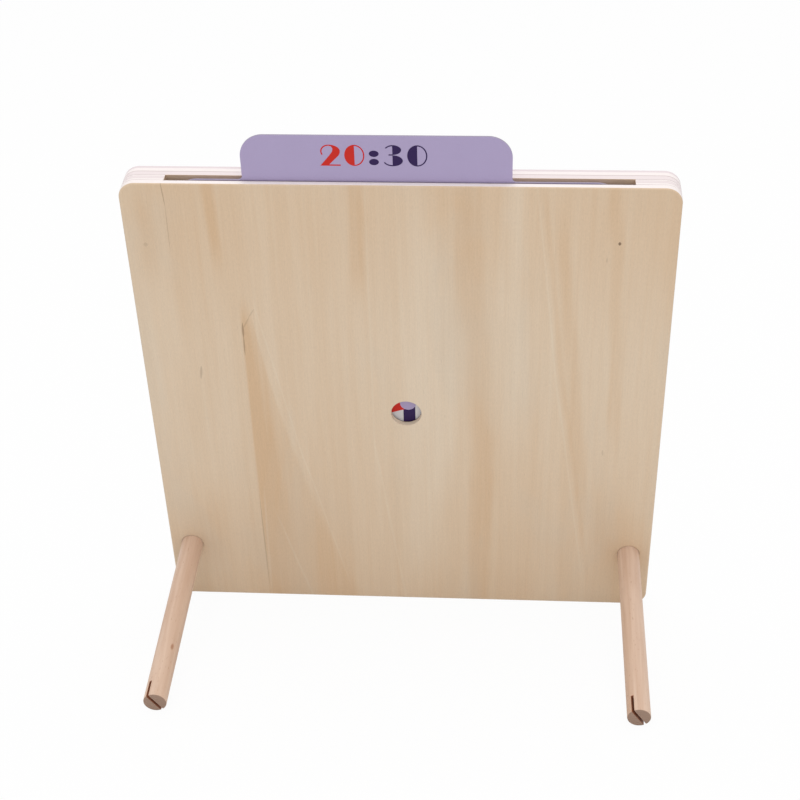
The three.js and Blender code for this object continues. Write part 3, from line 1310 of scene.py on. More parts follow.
@dataclass(frozen=True)
class BeechFinish(Finish):
    """Pinkish beech dowel: grain along the leg, ray flecks, grey end grain and a darker brown saw slit."""

    light: Colour = paint(219, 193, 173)
    deep: Colour = paint(199, 165, 141)
    fleck: Colour = paint(166, 118, 90)
    end_grain: Colour = paint(152, 125, 108)
    kerf: Colour = paint(148, 96, 70)
    reach: float = 118.5
    slit_angle: float = 56.0
    slit_half: float = 0.78
    slit_depth: float = 10.2
    axis_x: float = 123.0
    axis_z: float = 39.0
    knot: tuple[float, float, float] = (119.6, 84.0, 43.6)

    def lay(self, on: Surface) -> None:
        """Run the grain along the legs, and finish their free ends.

        Args:
            on: the surface.
        """
        x, y, z = on.split(on.place)
        along = on.gather(x, z, y)
        grain = Grain.on(on, Place=along, Band_Width=5.0, Fibre_Width=0.35, Stretch=14.0)
        bands = on.span(grain["Bands"], 0.3, 0.7, 0.15, 0.75)
        tone = on.math("MULTIPLY_ADD", grain["Lines"] - 0.5, 0.6, bands, clamp=True)
        colour = on.mix(tone, self.light, self.deep)
        flecks = on.noise(on.vector("MULTIPLY", along, (1.9, 1.9, 0.42)), 1.0, 0.4)
        colour = on.mix(on.span(flecks, 0.66, 0.80, 0.0, 0.42), colour, self.fleck)
        colour = on.mix(self.pin_knot(on), colour, self.fleck)
        across = (abs(x) - self.axis_x) * on.math("SIGN", x)
        up = z - self.axis_z
        end = on.shaded(self.end_grain, self.rings(on, across, up))
        colour = on.mix(on.span(y, self.reach - 0.45, self.reach - 0.15), colour, end)
        on.dress(Base_Color=on.mix(self.slit_walls(on, y, across, up), colour, self.kerf))
        on.relief(grain["Fibres"] + grain["Lines"], 0.05 * MM)

    def pin_knot(self, on: Surface) -> Signal:
        """Find a small reddish fleck low on one leg.

        Args:
            on: the surface.

        Returns:
            How strongly it shows.
        """
        offset = on.vector("SUBTRACT", on.place, self.knot)
        squeezed = on.vector("MULTIPLY", offset, (1.0, 0.4, 1.0))
        return on.span(on.vector("LENGTH", squeezed), 1.2, 0.4, 0.0, 0.8)

    def rings(self, on: Surface, across: Signal, up: Signal) -> Signal:
        """Shade the end grain with growth rings and a rough saw cut.

        Args:
            on: the surface.
            across: the way from the leg's axis along x.
            up: the way from the leg's axis along z.

        Returns:
            The shade, about 1.
        """
        bent = across * across * 0.035 + up
        rough = on.noise(on.gather(across, 0.0, up), 3.0, 0.7)
        return on.math("SINE", bent * 4.2) * 0.035 + (rough * 0.16 + 0.92)

    def slit_walls(self, on: Surface, y: Signal, across: Signal, up: Signal) -> Signal:
        """Find the saw slit's walls, which are coloured a darker brown.

        Args:
            on: the surface.
            y: the way along the leg.
            across: the way from the leg's axis along x.
            up: the way from the leg's axis along z.

        Returns:
            1 on the walls.
        """
        turn = math.radians(self.slit_angle)
        off = across * -math.sin(turn) + up * math.cos(turn)
        near = on.span(abs(off), self.slit_half + 0.06, self.slit_half)
        floor = self.reach - self.slit_depth
        return near * on.span(y, floor - 0.3, floor)


@dataclass(frozen=True)
class CardFinish(Finish):
    """Printed card: a matt coat of one colour with the paper's tooth, and a duller cut edge that also holds
    painted shade.
    """

    colour: Colour = paint(170, 157, 192)
    # the cut edge's colour: bare card, made greyer with painted shade
    edge: Colour = paint(150, 141, 160)
    thickness: float = 1.0
    back: float = 0.0

    def lay(self, on: Surface) -> None:
        """Coat both sides, and leave the cut edge bare, in a duller colour that also holds painted shade.

        Args:
            on: the surface.
        """
        mottle = Mottle.on(on, Place=on.place, Cloud_Size=14.0, Tooth_Size=0.35)
        shade = (mottle["Tooth"] - 0.5) * 0.05 + ((mottle["Clouds"] - 0.5) * 0.05 + 1.0)
        _, y, _ = on.split(on.place)
        half = self.thickness / 2
        at_edge = on.span(abs(y - (self.back - half)), half - 0.04, half - 0.10)
        on.dress(Base_Color=on.mix(at_edge, on.shaded(self.colour, shade), self.edge))
        on.relief(mottle["Tooth"], 0.02 * MM)


@dataclass(frozen=True)
class InkFinish(Finish):
    """Screen-printed ink: one colour, a little uneven, with a fine tooth."""

    roughness: float = 0.5
    colour: Colour = (0.5, 0.5, 0.5)
    uneven: float = 0.10

    def lay(self, on: Surface) -> None:
        """Print the ink.

        Args:
            on: the surface.
        """
        mottle = Mottle.on(on, Place=on.place, Cloud_Size=5.0, Tooth_Size=0.3)
        shade = (mottle["Clouds"] + mottle["Tooth"] - 1.0) * self.uneven + 1.0
        on.dress(Base_Color=on.shaded(self.colour, shade), Specular_IOR_Level=0.12)
        on.relief(mottle["Tooth"], 0.01 * MM)


@dataclass(frozen=True)
class PaintFinish(Finish):
    """Satin paint on wood: the grain telegraphs through, and handled spots are glossier."""

    roughness: float = 0.42
    colour: Colour = (0.5, 0.5, 0.5)
    coat: float = 0.25

    def lay(self, on: Surface) -> None:
        """Brush the paint on.

        Args:
            on: the surface.
        """
        grain = Grain.on(on, Place=on.place, Band_Width=6.0, Fibre_Width=0.5, Stretch=8.0)
        mottle = Mottle.on(on, Place=on.place, Cloud_Size=9.0, Tooth_Size=0.5)
        shade = (grain["Lines"] - 0.5) * 0.10 + ((mottle["Clouds"] - 0.5) * 0.10 + 1.0)
        smoother, rougher = self.roughness - 0.08, self.roughness + 0.08
        on.dress(
            Base_Color=on.shaded(self.colour, shade),
            Roughness=on.span(mottle["Clouds"], 0.35, 0.65, smoother, rougher),
            Coat_Weight=self.coat,
            Coat_Roughness=0.3,
        )
        on.relief(mottle["Tooth"] * 0.3 + grain["Lines"], 0.04 * MM)


@dataclass(frozen=True)
class ZincFinish(Finish):
    """Bright zinc plate on the screw, the sleeve and the spring ring."""

    colour: Colour = paint(196, 198, 202)

    def lay(self, on: Surface) -> None:
        """Plate the metal.

        Args:
            on: the surface.
        """
        mottle = Mottle.on(on, Place=on.place, Cloud_Size=2.5, Tooth_Size=0.12)
        smoother, rougher = self.roughness - 0.1, self.roughness + 0.12
        on.dress(
            Base_Color=on.shaded(self.colour, (mottle["Clouds"] - 0.5) * 0.22 + 1.0),
            Metallic=1.0,
            Roughness=on.span(mottle["Clouds"], 0.3, 0.7, smoother, rougher),
        )
        on.relief(mottle["Tooth"], 0.01 * MM)


@dataclass(frozen=True)
class FibreFinish(Finish):
    """Dark pressed fibre of the flat washers, with paler flecks."""

    colour: Colour = paint(112, 80, 64)
    fleck: Colour = paint(156, 122, 98)

    def lay(self, on: Surface) -> None:
        """Press the fibre.

        Args:
            on: the surface.
        """
        mottle = Mottle.on(on, Place=on.place, Cloud_Size=1.2, Tooth_Size=0.25)
        flecks = on.span(mottle["Tooth"], 0.55, 0.72, 0.0, 0.7)
        on.dress(Base_Color=on.mix(flecks, self.colour, self.fleck))
        on.relief(mottle["Tooth"], 0.03 * MM)


class Finishes:
    """Every finish on the clock, made once."""

    def __init__(self, axes: BoardAxes) -> None:
        """Mix them.

        Args:
            axes: the board's axes.
        """
        red, violet, lavender = paint(199, 46, 38), paint(51, 35, 80), paint(170, 157, 192)
        # grey: the card dial's white ground, darkened with painted shade because it lies deep behind the
        # hole in the back sheet
        white, grey = paint(232, 230, 232), paint(206, 203, 205)
        card = axes.extent("time_card")
        size = {"thickness": card.size.y / MM, "back": card.high.y / MM}
        self.laminate = LaminateFinish("matt plywood", 0.58).build(axes)
        self.beech = BeechFinish("sanded beech").build(axes)
        self.card = CardFinish("printed card", **size).build(axes)
        self.zinc = ZincFinish("bright zinc", 0.32).build(axes)
        self.fibre = FibreFinish("pressed fibre", 0.8).build(axes)
        self.red_paint = PaintFinish("red satin paint", colour=red).build(axes)
        self.violet_paint = PaintFinish("violet satin paint", colour=violet).build(axes)
        self.lavender_paint = PaintFinish("lavender satin paint", colour=lavender).build(axes)
        self.red_ink = InkFinish("red ink", colour=red).build(axes)
        self.violet_ink = InkFinish("violet ink", colour=violet).build(axes)
        self.white_ink = InkFinish("white ink", colour=white, uneven=0.04).build(axes)
        self.lavender_ink = InkFinish("lavender ink", colour=lavender, uneven=0.06).build(axes)
        self.white_ink_with_painted_shade = InkFinish("white ink with painted shade", colour=grey, uneven=0.05).build(axes)


# --------------------------------------------------------------------------- the board


@dataclass
class SubAssembly:
    """A part of the clock that is made by itself."""

    shop: Workshop
    finishes: Finishes

    def extent(self, node: str) -> Extent:
        """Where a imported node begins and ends."""
        return self.shop.axes.extent(node)

    @property
    def pivot(self) -> Vector:
        """Middle of the sleeve that the hands turn on."""
        return self.extent("pivot_sleeve_nut").middle


@dataclass
class LayeredBoard(SubAssembly):
    """The board's three glued layers, with the leg sockets and the round hole in the back."""

    corner: float = 8.5 * MM
    edge_round: float = 1.0 * MM
    easing: float = 0.16 * MM
    socket_fit: float = 0.15 * MM
    socket_room: float = 0.3 * MM
    flange_radius: float = 6.2 * MM
    sleeve_radius: float = 3.2 * MM
    flange_seat: float = 1.7 * MM
    glue_line: float = 0.02 * MM

    def build(self) -> None:
        """Make and hand over every layer."""
        self.build_back_panel()
        self.build_front_panel()
        for side in ("left", "right"):
            self.build_stile(f"slot_stile_{side}", f"plywood_stile_{side}")
        rail = self.spacer("slot_bottom_rail")
        self.hand_over(Bench.block("plywood_rail", rail.low, rail.high), "slot_bottom_rail")

    def outer_sheet(self, name: str, extent: Extent, face: float) -> Piece:
        """Make a sheet with four round corners and one round outer edge.

        Args:
            name: the sheet's name.
            extent: where it begins and ends.
            face: the depth of the face whose edge is round.

        Returns:
            The sheet.
        """
        plate = Bench.panel(name, extent.low, extent.high)
        Bench.round_corners(plate, self.corner, lambda corner: True)
        Bench.thicken(plate, extent.size.y)
        Bench.round_rims(plate, self.edge_round, [face])
        return plate

    def cut_sockets(self, plate: Piece) -> None:
        """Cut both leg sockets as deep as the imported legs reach.

        Args:
            plate: the layer to cut.
        """
        for node in ("leg_left", "leg_right"):
            leg = self.extent(node)
            radius = leg.size.x / 2 + self.socket_fit
            Bench.bore(plate, leg.middle, radius, leg.low.y - self.socket_room, MM)

    def hand_over(self, plate: Piece, node: str) -> None:
        """Ease the cut edges and hand the layer over.

        Args:
            plate: the finished layer.
            node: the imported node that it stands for.
        """
        Bench.ease(plate, self.easing)
        Bench.smooth(plate)
        self.shop.hand_over(plate, "board", "plywood", self.finishes.laminate, node)

    def build_back_panel(self) -> None:
        """Make the thin back sheet, with the screwdriver's hole."""
        extent = self.extent("back_panel")
        low, high = extent.low.y, extent.high.y
        plate = self.outer_sheet("plywood_back", extent, high)
        Bench.bore(plate, self.shop.axes.hole(), HOLE_RADIUS, low - MM, high + MM)
        self.cut_sockets(plate)
        self.hand_over(plate, "back_panel")

    def build_front_panel(self) -> None:
        """Make the thick dial sheet, with blind sockets and the sleeve's stepped hole."""
        extent = self.extent("front_panel")
        low, high = extent.low.y, extent.high.y
        plate = self.outer_sheet("plywood_front", extent, low)
        Bench.bore(plate, self.pivot, self.flange_radius, high - self.flange_seat, high + MM)
        Bench.bore(plate, self.pivot, self.sleeve_radius, low - MM, high)
        self.cut_sockets(plate)
        self.hand_over(plate, "front_panel")

    def spacer(self, node: str) -> Extent:
        """Fill a middle strip out to the layers that it is glued between.

        Args:
            node: the strip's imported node.

        Returns:
            Where the strip begins and ends.
        """
        extent = self.extent(node)
        front = self.extent("front_panel").high.y + self.glue_line
        back = self.extent("back_panel").low.y - self.glue_line
        low = Vector((extent.low.x, front, extent.low.z))
        return Extent(low, Vector((extent.high.x, back, extent.high.z)))

    def build_stile(self, node: str, name: str) -> None:
        """Make an upright strip beside the slot, round at its two outer corners.

        Args:
            node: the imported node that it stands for.
            name: the strip's name.
        """
        extent = self.spacer(node)
        outer = max(abs(extent.low.x), abs(extent.high.x))
        plate = Bench.panel(name, extent.low, extent.high)
        Bench.round_corners(plate, self.corner, lambda corner: abs(abs(corner.x) - outer) < NEAR)
        Bench.thicken(plate, extent.size.y)
        self.cut_sockets(plate)
        self.hand_over(plate, node)


# --------------------------------------------------------------------------- legs


@dataclass
class Legs(SubAssembly):
    """Two round legs with a saw slit across each end."""

    chamfer: float = 0.6 * MM
    easing: float = 0.08 * MM
    slit_width: float = 1.4 * MM
    slit_depth: float = 10.0 * MM
    slit_angle: float = 56.0
    blade_reach: float = 12.0 * MM

    def build(self) -> None:
        """Make and hand over both legs."""
        for side in ("left", "right"):
            self.build_leg(f"leg_{side}", f"beech_leg_{side}")

    def build_leg(self, node: str, name: str) -> None:
        """Turn one leg, chamfer it and slit it.

        Args:
            node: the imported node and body.
            name: the leg's name.
        """
        extent = self.extent(node)
        ends = (extent.low.y, extent.high.y)
        leg = Bench.rod(name, extent.middle, extent.size.x / 2, *ends, sides=128)
        Bench.round_rims(leg, self.chamfer, ends, 3)
        for end in ends:
            self.saw(leg, extent.middle, end)
        Bench.ease(leg, self.easing, 60, 1)
        Bench.smooth(leg, 30)
        self.shop.hand_over(leg, node, "beech", self.finishes.beech, node)

    def saw(self, leg: Piece, middle: Vector, end: float) -> None:
        """Saw the slit across one end of a leg.

        Args:
            leg: the leg.
            middle: a point on its axis.
            end: the depth of that end.
        """
        reach = Vector((self.blade_reach, self.slit_depth, self.slit_width / 2))
        blade = Bench.block("saw blade", -reach, reach)
        blade.rotation_euler = (0, -math.radians(self.slit_angle), 0)
        blade.location = (middle.x, end, middle.z)
        Bench.apply(blade)
        Bench.carve(leg, blade)


# --------------------------------------------------------------------------- print


class Facing(Enum):
    """Which way a print is read from."""

    BACK = 1
    DIAL = -1


@dataclass(frozen=True)
class InkBed:
    """A flat face that takes ink, and the side that it is read from."""

    level: float
    facing: Facing
    film: float = 0.03 * MM

    def place(self, piece: Piece, x: float, z: float, layer: int = 0) -> Piece:
        """Set a flat drawing, made in x and y about its middle, on the bed with a film's thickness.

        Args:
            piece: the flat drawing.
            x: where its middle goes, in the board's axes.
            z: where its middle goes.
            layer: how many films lie under it.

        Returns:
            The drawing as a closed film of ink.
        """
        outward = self.facing.value
        turn = Matrix(((-outward, 0, 0), (0, 0, outward), (0, 1, 0))).to_4x4()
        turn.translation = (x, self.level + outward * layer * self.film, z)
        piece.matrix_world = turn
        Bench.apply(piece)
        Bench.thicken(piece, -outward * self.film)
        return piece


class Drawing:
    """Flat shapes, drawn in x and y, for the printed figures and dials."""

    @staticmethod
    def blot(name: str, points: Outline) -> Piece:
        """Trace an outline corner by corner and fill it.

        Args:
            name: its name.
            points: the outline's corners, in order.

        Returns:
            A flat mesh of one face.
        """
        Bench.clear()
        bpy.ops.mesh.primitive_plane_add(size=MM, location=(*points[0], 0))
        piece = Bench.settle(name)
        Bench.pick_all(piece, "VERT")
        bpy.ops.mesh.merge(type="CENTER")
        for (x0, y0), (x1, y1) in zip(points, points[1:]):
            step = (x1 - x0, y1 - y0, 0)
            bpy.ops.mesh.extrude_vertices_move(TRANSFORM_OT_translate={"value": step})
        bpy.ops.mesh.select_all(action="SELECT")
        bpy.ops.mesh.edge_face_add()
        Bench.clear()
        return piece

    @staticmethod
    def disc(name: str, radius: float, sides: int = 192) -> Piece:
        """Draw a filled circle.

        Args:
            name: its name.
            radius: its radius.
            sides: how many straight edges it has.

        Returns:
            The circle.
        """
        Bench.clear()
        bpy.ops.mesh.primitive_circle_add(vertices=sides, radius=1, fill_type="NGON")
        return Bench.settle(name, (radius, radius, 1))

    @staticmethod
    def bar(name: str, start: float, end: float, width: float) -> Piece:
        """Draw a bar that stands on the y axis.

        Args:
            name: its name.
            start: how far from the middle it starts.
            end: how far from the middle it ends.
            width: its width.

        Returns:
            The bar.
        """
        Bench.clear()
        bpy.ops.mesh.primitive_plane_add(size=1, location=(0, (start + end) / 2, 0))
        return Bench.settle(name, (width, end - start, 1))

    @staticmethod
    def words(name: str, text: str, size: float) -> Piece:
        """Draw plain lettering.

        Args:
            name: its name.
            text: what it says.
            size: its size.

        Returns:
            A flat mesh, centred on its place.
        """
        Bench.clear()
        bpy.ops.object.text_add()
        piece = bpy.context.active_object
        piece.name = name
        piece.data.body = text
        piece.data.size = size
        piece.data.align_x = "CENTER"
        piece.data.align_y = "CENTER"
        piece.data.resolution_u = 6
        Bench.alone(piece)
        bpy.ops.object.convert(target="MESH")
        return bpy.context.active_object

    @staticmethod
    def arc(centre: Point, radii: Point, start: float, end: float, steps: int = 16) -> Outline:
        """Points along part of an ellipse, between two angles from the right, anticlockwise."""
        turns = [math.radians(start + (end - start) * step / steps) for step in range(steps + 1)]
        return [(centre[0] + radii[0] * math.cos(a), centre[1] + radii[1] * math.sin(a)) for a in turns]

    @staticmethod
    def turned(points: Outline, hour: float) -> Outline:
        """Turn points that stand at twelve clockwise to an hour of the dial.

        Args:
            points: the points.
            hour: the hour.

        Returns:
            The turned points.
        """
        turn = math.radians(-30 * hour)
        cosine, sine = math.cos(turn), math.sin(turn)
        return [(x * cosine - y * sine, x * sine + y * cosine) for x, y in points]


@dataclass(frozen=True)
class HalfFilledFigures:
    """Figures with one heavy half and one thin line, drawn in a cell one unit high."""

    height: float = 11.3 * MM
    stroke: float = 0.055

    def scaled(self, points: Outline) -> Outline:
        """Points in units of the figure's height, about the figure's middle, in metres."""
        return [(x * self.height, y * self.height) for x, y in points]

    def nought(self) -> list[Outline]:
        """Draw a nought: a thin ring whose left half is filled.

        Returns:
            Its outlines.
        """
        half, thin = 0.42, self.stroke
        outer = Drawing.arc((0, 0), (half, 0.5), 90, -90, 24)
        inner = Drawing.arc((0, 0), (half - thin, 0.5 - thin), -90, 90, 24)
        filled = Drawing.arc((0, 0), (half, 0.5), 90, 270, 24)
        return [outer + inner, filled]

    def two(self) -> list[Outline]:
        """Draw a two: a thin hook, a heavy slanting body and a thin foot.

        Returns:
            Its outlines.
        """
        hook = Drawing.arc((-0.08, 0.18), (0.34, 0.32), 90, 212)
        back = Drawing.arc((-0.08, 0.18), (0.34 - self.stroke, 0.32 - self.stroke), 212, 90)
        body = Drawing.arc((-0.07, 0.20), (0.47, 0.30), 90, 0, 12)
        body += Drawing.arc((-0.07, 0.20), (0.47, 0.42), 0, -32, 6)[1:]
        body += [(-0.07, -0.44), (0.41, -0.44), (0.41, -0.5), (-0.45, -0.5)]
        body += [(-0.07, -0.03), (0.07, 0.17), (0.10, 0.31), (0.04, 0.42), (-0.07, 0.445)]
        return [hook + back, body]

    def three(self) -> list[Outline]:
        """Draw a three: two heavy bowls on the right and thin arcs on the left.

        Returns:
            Its outlines.
        """
        thin = self.stroke
        upper = Drawing.arc((0, 0.27), (0.37, 0.23), 90, -90)
        lower = Drawing.arc((0, -0.24), (0.43, 0.26), 90, -90)
        top = Drawing.arc((0, 0.20), (0.36, 0.30), 90, 148, 12)
        top += Drawing.arc((0, 0.20), (0.36 - thin, 0.30 - thin), 148, 90, 12)
        bottom = Drawing.arc((0, -0.18), (0.42, 0.32), 270, 208, 12)
        bottom += Drawing.arc((0, -0.18), (0.42 - thin, 0.32 - thin), 208, 270, 12)
        bar = [(-0.16, 0.01), (0.0, 0.01), (0.0, 0.01 + thin), (-0.16, 0.01 + thin)]
        return [upper, lower, top, bottom, bar]

    def colon(self) -> list[Outline]:
        """Draw a colon: two round points, one over the other."""
        return [Drawing.arc((0, height), (0.205, 0.150), 0, 345, 23) for height in (0.085, -0.305)]


@dataclass(frozen=True)
class DialPrint:
    """Minute marks and hour figures round the middle of a dial."""

    bed: InkBed
    middle: Vector
    layer: int = 1

    def marks(self, radius: float, long: Point, short: Point) -> list[Piece]:
        """Print sixty marks, every fifth one longer and wider.

        Args:
            radius: where the marks end.
            long: length and width of every fifth mark.
            short: length and width of the others.

        Returns:
            Their films.
        """
        x, z = self.middle.x, self.middle.z
        films = []
        for length, width in (long, short):
            drawn = Drawing.bar("mark", radius - length, radius, width)
            films.append(self.bed.place(drawn, x, z, self.layer))
        fifth, other = films
        there = Matrix.Translation((x, 0, z))
        for minute in range(1, 60):
            if minute > 1:
                Bench.alone(other if minute % 5 else fifth)
                bpy.ops.object.duplicate(linked=False)
                films.append(bpy.context.active_object)
            turn = Matrix.Rotation(math.radians(6 * minute), 4, "Y")
            films[-1].matrix_world = there @ turn @ there.inverted()
        return films

    def figures(self, radius: float, size: float, first: int = 1) -> list[Piece]:
        """Print twelve plain figures.

        Args:
            radius: how far from the middle they stand.
            size: their size.
            first: the figure at the first hour's place.

        Returns:
            Their films.
        """
        films = []
        for hour in range(1, 13):
            turn = math.radians(90 - 30 * hour)
            figure = Drawing.words("figure", str(hour + first - 1), size)
            x = self.middle.x - self.bed.facing.value * radius * math.cos(turn)
            films.append(self.bed.place(figure, x, self.middle.z + radius * math.sin(turn), self.layer))
        return films


# --------------------------------------------------------------------------- the time card


@dataclass
class TimeCard(SubAssembly):
    """The card in the slot: a rounded tab with the time, and a printed dial on the hidden part."""

    corner: float = 12.0 * MM
    tab_corner: float = 11.5 * MM
    tab_fillet: float = 2.0 * MM
    tab_width: float = 129.0 * MM
    tab_shift: float = 9.0 * MM
    shoulder: float = 24.3 * MM
    easing: float = 0.06 * MM
    figures: HalfFilledFigures = HalfFilledFigures()
    figure_line: float = 10.4 * MM
    dial_radius: float = 88.0 * MM
    dial_middle: Point = (-1.9 * MM, 140.7 * MM)
    long_mark: Point = (4.0 * MM, 1.1 * MM)
    short_mark: Point = (2.2 * MM, 0.5 * MM)
    mark_room: float = 5.0 * MM
    figure_room: float = 17.0 * MM
    figure_size: float = 13.0 * MM
    hub_radius: float = 4.2 * MM
    minute_hand: Point = (6.3 * MM, 74.0 * MM)
    minute_slip: float = 0.6 * MM
    hour_hand: tuple[float, float, float] = (6.4 * MM, 11.0 * MM, 50.0 * MM)
    hour: float = 8.5

    def build(self) -> None:
        """Make and hand over the card and all of its print."""
        extent = self.extent("time_card")
        self.build_card(extent)
        middle = extent.middle.x + self.tab_shift
        level = extent.high.z - self.figure_line
        back = InkBed(extent.high.y, Facing.BACK)
        self.print_time(back, middle, level, "back")
        self.print_time(InkBed(extent.low.y, Facing.DIAL), middle, level, "front")
        self.print_dial(back)

    def build_card(self, extent: Extent) -> None:
        """Cut the card's outline, round its corners and give it its thickness.

        Args:
            extent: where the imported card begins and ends.
        """
        low, high = extent.low, extent.high
        shoulder = high.z - self.shoulder
        middle = extent.middle.x + self.tab_shift
        sides = (middle - self.tab_width / 2, middle + self.tab_width / 2)

        def lies(value: float, *levels: float) -> bool:
            """Whether a coordinate is at one of some levels."""
            return any(abs(value - level) < 10 * NEAR for level in levels)

        def is_tab_root(a: Vector, b: Vector) -> bool:
            """Whether an edge is the stretch of the top that the tab grows from."""
            inside = abs((a.x + b.x) / 2 - middle) < self.tab_width / 4
            return inside and lies(a.z, shoulder) and lies(b.z, shoulder)

        card = Bench.panel("time_card_sheet", low, Vector((high.x, high.y, shoulder)))
        for side in sides:
            Bench.pick_all(card)
            bpy.ops.mesh.bisect(plane_co=(side, 0, 0), plane_no=(1, 0, 0))
        Bench.pick_edges(card, is_tab_root)
        Bench.extrude(Vector((0, 0, self.shoulder)))
        Bench.pick_all(card)
        bpy.ops.mesh.dissolve_faces()
        Bench.pick_corners(card, lambda at: lies(at.z, low.z) and not lies(at.x, low.x, high.x))
        bpy.ops.mesh.dissolve_verts()
        rounds = (
            (self.tab_fillet, 8, lambda at: lies(at.z, shoulder) and lies(at.x, *sides)),
            (self.tab_corner, 16, lambda at: lies(at.z, high.z)),
            (self.corner, 16, lambda at: lies(at.z, low.z, shoulder) and lies(at.x, low.x, high.x)),
        )
        for radius, steps, test in rounds:
            Bench.round_corners(card, radius, test, steps)
        Bench.thicken(card, extent.size.y)
        Bench.ease(card, self.easing, 60)
        Bench.smooth(card)
        self.shop.hand_over(card, "time_card", "card", self.finishes.card, "time_card")

    def hand_over(self, print_work: Piece, ink: Material) -> None:
        """Hand over something printed on the card."""
        self.shop.hand_over(print_work, "time_card", "card", ink)

    def print_time(self, bed: InkBed, middle: float, level: float, side: str) -> None:
        """Print the time on one side of the tab, hours in red and minutes in violet.

        Args:
            bed: the tab's face.
            middle: the tab's middle.
            level: the height of the figures' middle.
            side: the face's name.
        """
        figures = self.figures
        red, violet = self.finishes.red_ink, self.finishes.violet_ink
        line = (
            ("two", figures.two(), 21.3 * MM, red),
            ("hour_nought", figures.nought(), 10.0 * MM, red),
            ("colon", figures.colon(), 0.8 * MM, violet),
            ("three", figures.three(), -8.0 * MM, violet),
            ("minute_nought", figures.nought(), -19.7 * MM, violet),
        )
        for name, shapes, offset, ink in line:
            blots = [Drawing.blot(name, figures.scaled(points)) for points in shapes]
            films = [bed.place(blot, middle + bed.facing.value * offset, level) for blot in blots]
            self.hand_over(Bench.join(f"print_{name}_{side}", films), ink)

    def print_dial(self, bed: InkBed) -> None:
        """Print the dial that shows the card's time: white ground printed grey as painted shade, marks,
        figures and hands.

        Args:
            bed: the card's face.
        """
        x, z = self.dial_middle
        # painted shade: the white ground is printed grey, for the shade deep behind the hole in the back
        # sheet
        ground = Drawing.disc("card_dial_ground", self.dial_radius)
        self.hand_over(bed.place(ground, x, z), self.finishes.white_ink_with_painted_shade)
        dial = DialPrint(bed, Vector((x, 0, z)))
        films = dial.marks(self.dial_radius - self.mark_room, self.long_mark, self.short_mark)
        films += dial.figures(self.dial_radius - self.figure_room, self.figure_size)
        self.hand_over(Bench.join("card_dial_marks", films), self.finishes.violet_ink)
        width, length = self.minute_hand
        pointer = self.pointer("card_minute_hand", (width, width, length), length - width, 6.0)
        self.hand_over(bed.place(pointer, x - self.minute_slip, z, 2), self.finishes.violet_ink)
        _, tip, reach = self.hour_hand
        pointer = self.pointer("card_hour_hand", self.hour_hand, reach - tip, self.hour)
        self.hand_over(bed.place(pointer, x, z, 3), self.finishes.red_ink)
        hub = Drawing.disc("card_hub", self.hub_radius, 96)
        self.hand_over(bed.place(hub, x, z, 4), self.finishes.lavender_ink)

    @staticmethod
    def pointer(name: str, size: tuple[float, float, float], shoulder: float, hour: float) -> Piece:
        """Draw one printed hand.

        Args:
            name: its name.
            size: its width at the root, its width at the shoulder, and its length.
            shoulder: how far from the middle its point begins.
            hour: the hour of the dial that it points to.

        Returns:
            The flat hand.
        """
        root, tip, reach = size[0] / 2, size[1] / 2, size[2]
        outline = [(root, 0), (tip, shoulder), (0, reach), (-tip, shoulder), (-root, 0)]
        return Drawing.blot(name, Drawing.turned(outline, hour))


# --------------------------------------------------------------------------- the dial


@dataclass
class Dial(SubAssembly):
    """The dial side: printed ground, ring, minute marks and two rings of hour figures."""

    radius: float = 122.0 * MM
    ring: float = 6.0 * MM
    opening: float = 9.7 * MM
    mark_room: float = 2.0 * MM
    long_mark: Point = (8.0 * MM, 2.2 * MM)
    short_mark: Point = (4.0 * MM, 0.8 * MM)
    figure_size: float = 21.0 * MM
    figure_radius: float = 92.0 * MM
    inner_size: float = 9.5 * MM
    inner_radius: float = 72.0 * MM

    def build(self) -> None:
        """Print the dial on the front panel."""
        bed = InkBed(self.extent("front_panel").low.y, Facing.DIAL)
        hand_over, inks = self.shop.hand_over, self.finishes
        inner = self.radius - self.ring
        ring = self.print_ring(bed, "dial_ring", self.radius, inner)
        hand_over(ring, "board", "lavender_painted_wood", inks.lavender_ink)
        ground = self.print_ring(bed, "dial_ground", inner, self.opening)
        hand_over(ground, "board", "plywood", inks.white_ink)
        dial = DialPrint(bed, self.pivot)
        films = dial.marks(inner - self.mark_room, self.long_mark, self.short_mark)
        films += dial.figures(self.figure_radius, self.figure_size)
        hand_over(Bench.join("dial_marks", films), "board", "violet_painted_wood", inks.violet_ink)
        films = dial.figures(self.inner_radius, self.inner_size, 13)
        hand_over(Bench.join("dial_inner_figures", films), "board", "red_painted_wood", inks.red_ink)

    def print_ring(self, bed: InkBed, name: str, outer: float, inner: float) -> Piece:
        """Print a flat ring between two radii.

        Args:
            bed: the dial's face.
            name: the ring's name.
            outer: its outer radius.
            inner: its inner radius.

        Returns:
            The ring's film.
        """
        ring = Drawing.disc(name, outer)
        Bench.pick_all(ring)
        bpy.ops.mesh.inset(thickness=outer - inner, depth=0)
        bpy.ops.mesh.delete(type="FACE")
        Bench.clear()
        return bed.place(ring, self.pivot.x, self.pivot.z)


@dataclass(frozen=True)
class HandShape:
    """Sizes of one hand, pointing up from its hub."""

    length: float
    hub: float
    root: float
    tip: float
    point: float
    hour: float

    def outline(self) -> Outline:
        """Draw the hand's round hub and its widening arm with a point.

        Returns:
            Its outline, turned to its hour.
        """
        radius = self.hub / 2
        leave = math.degrees(math.asin(self.root / 2 / radius))
        hub = Drawing.arc((0, 0), (radius, radius), 90 + leave, 450 - leave, 56)
        shoulder = self.length - self.point
        arm = [(self.tip / 2, shoulder), (0, self.length), (-self.tip / 2, shoulder)]
        return Drawing.turned(hub + arm, self.hour)


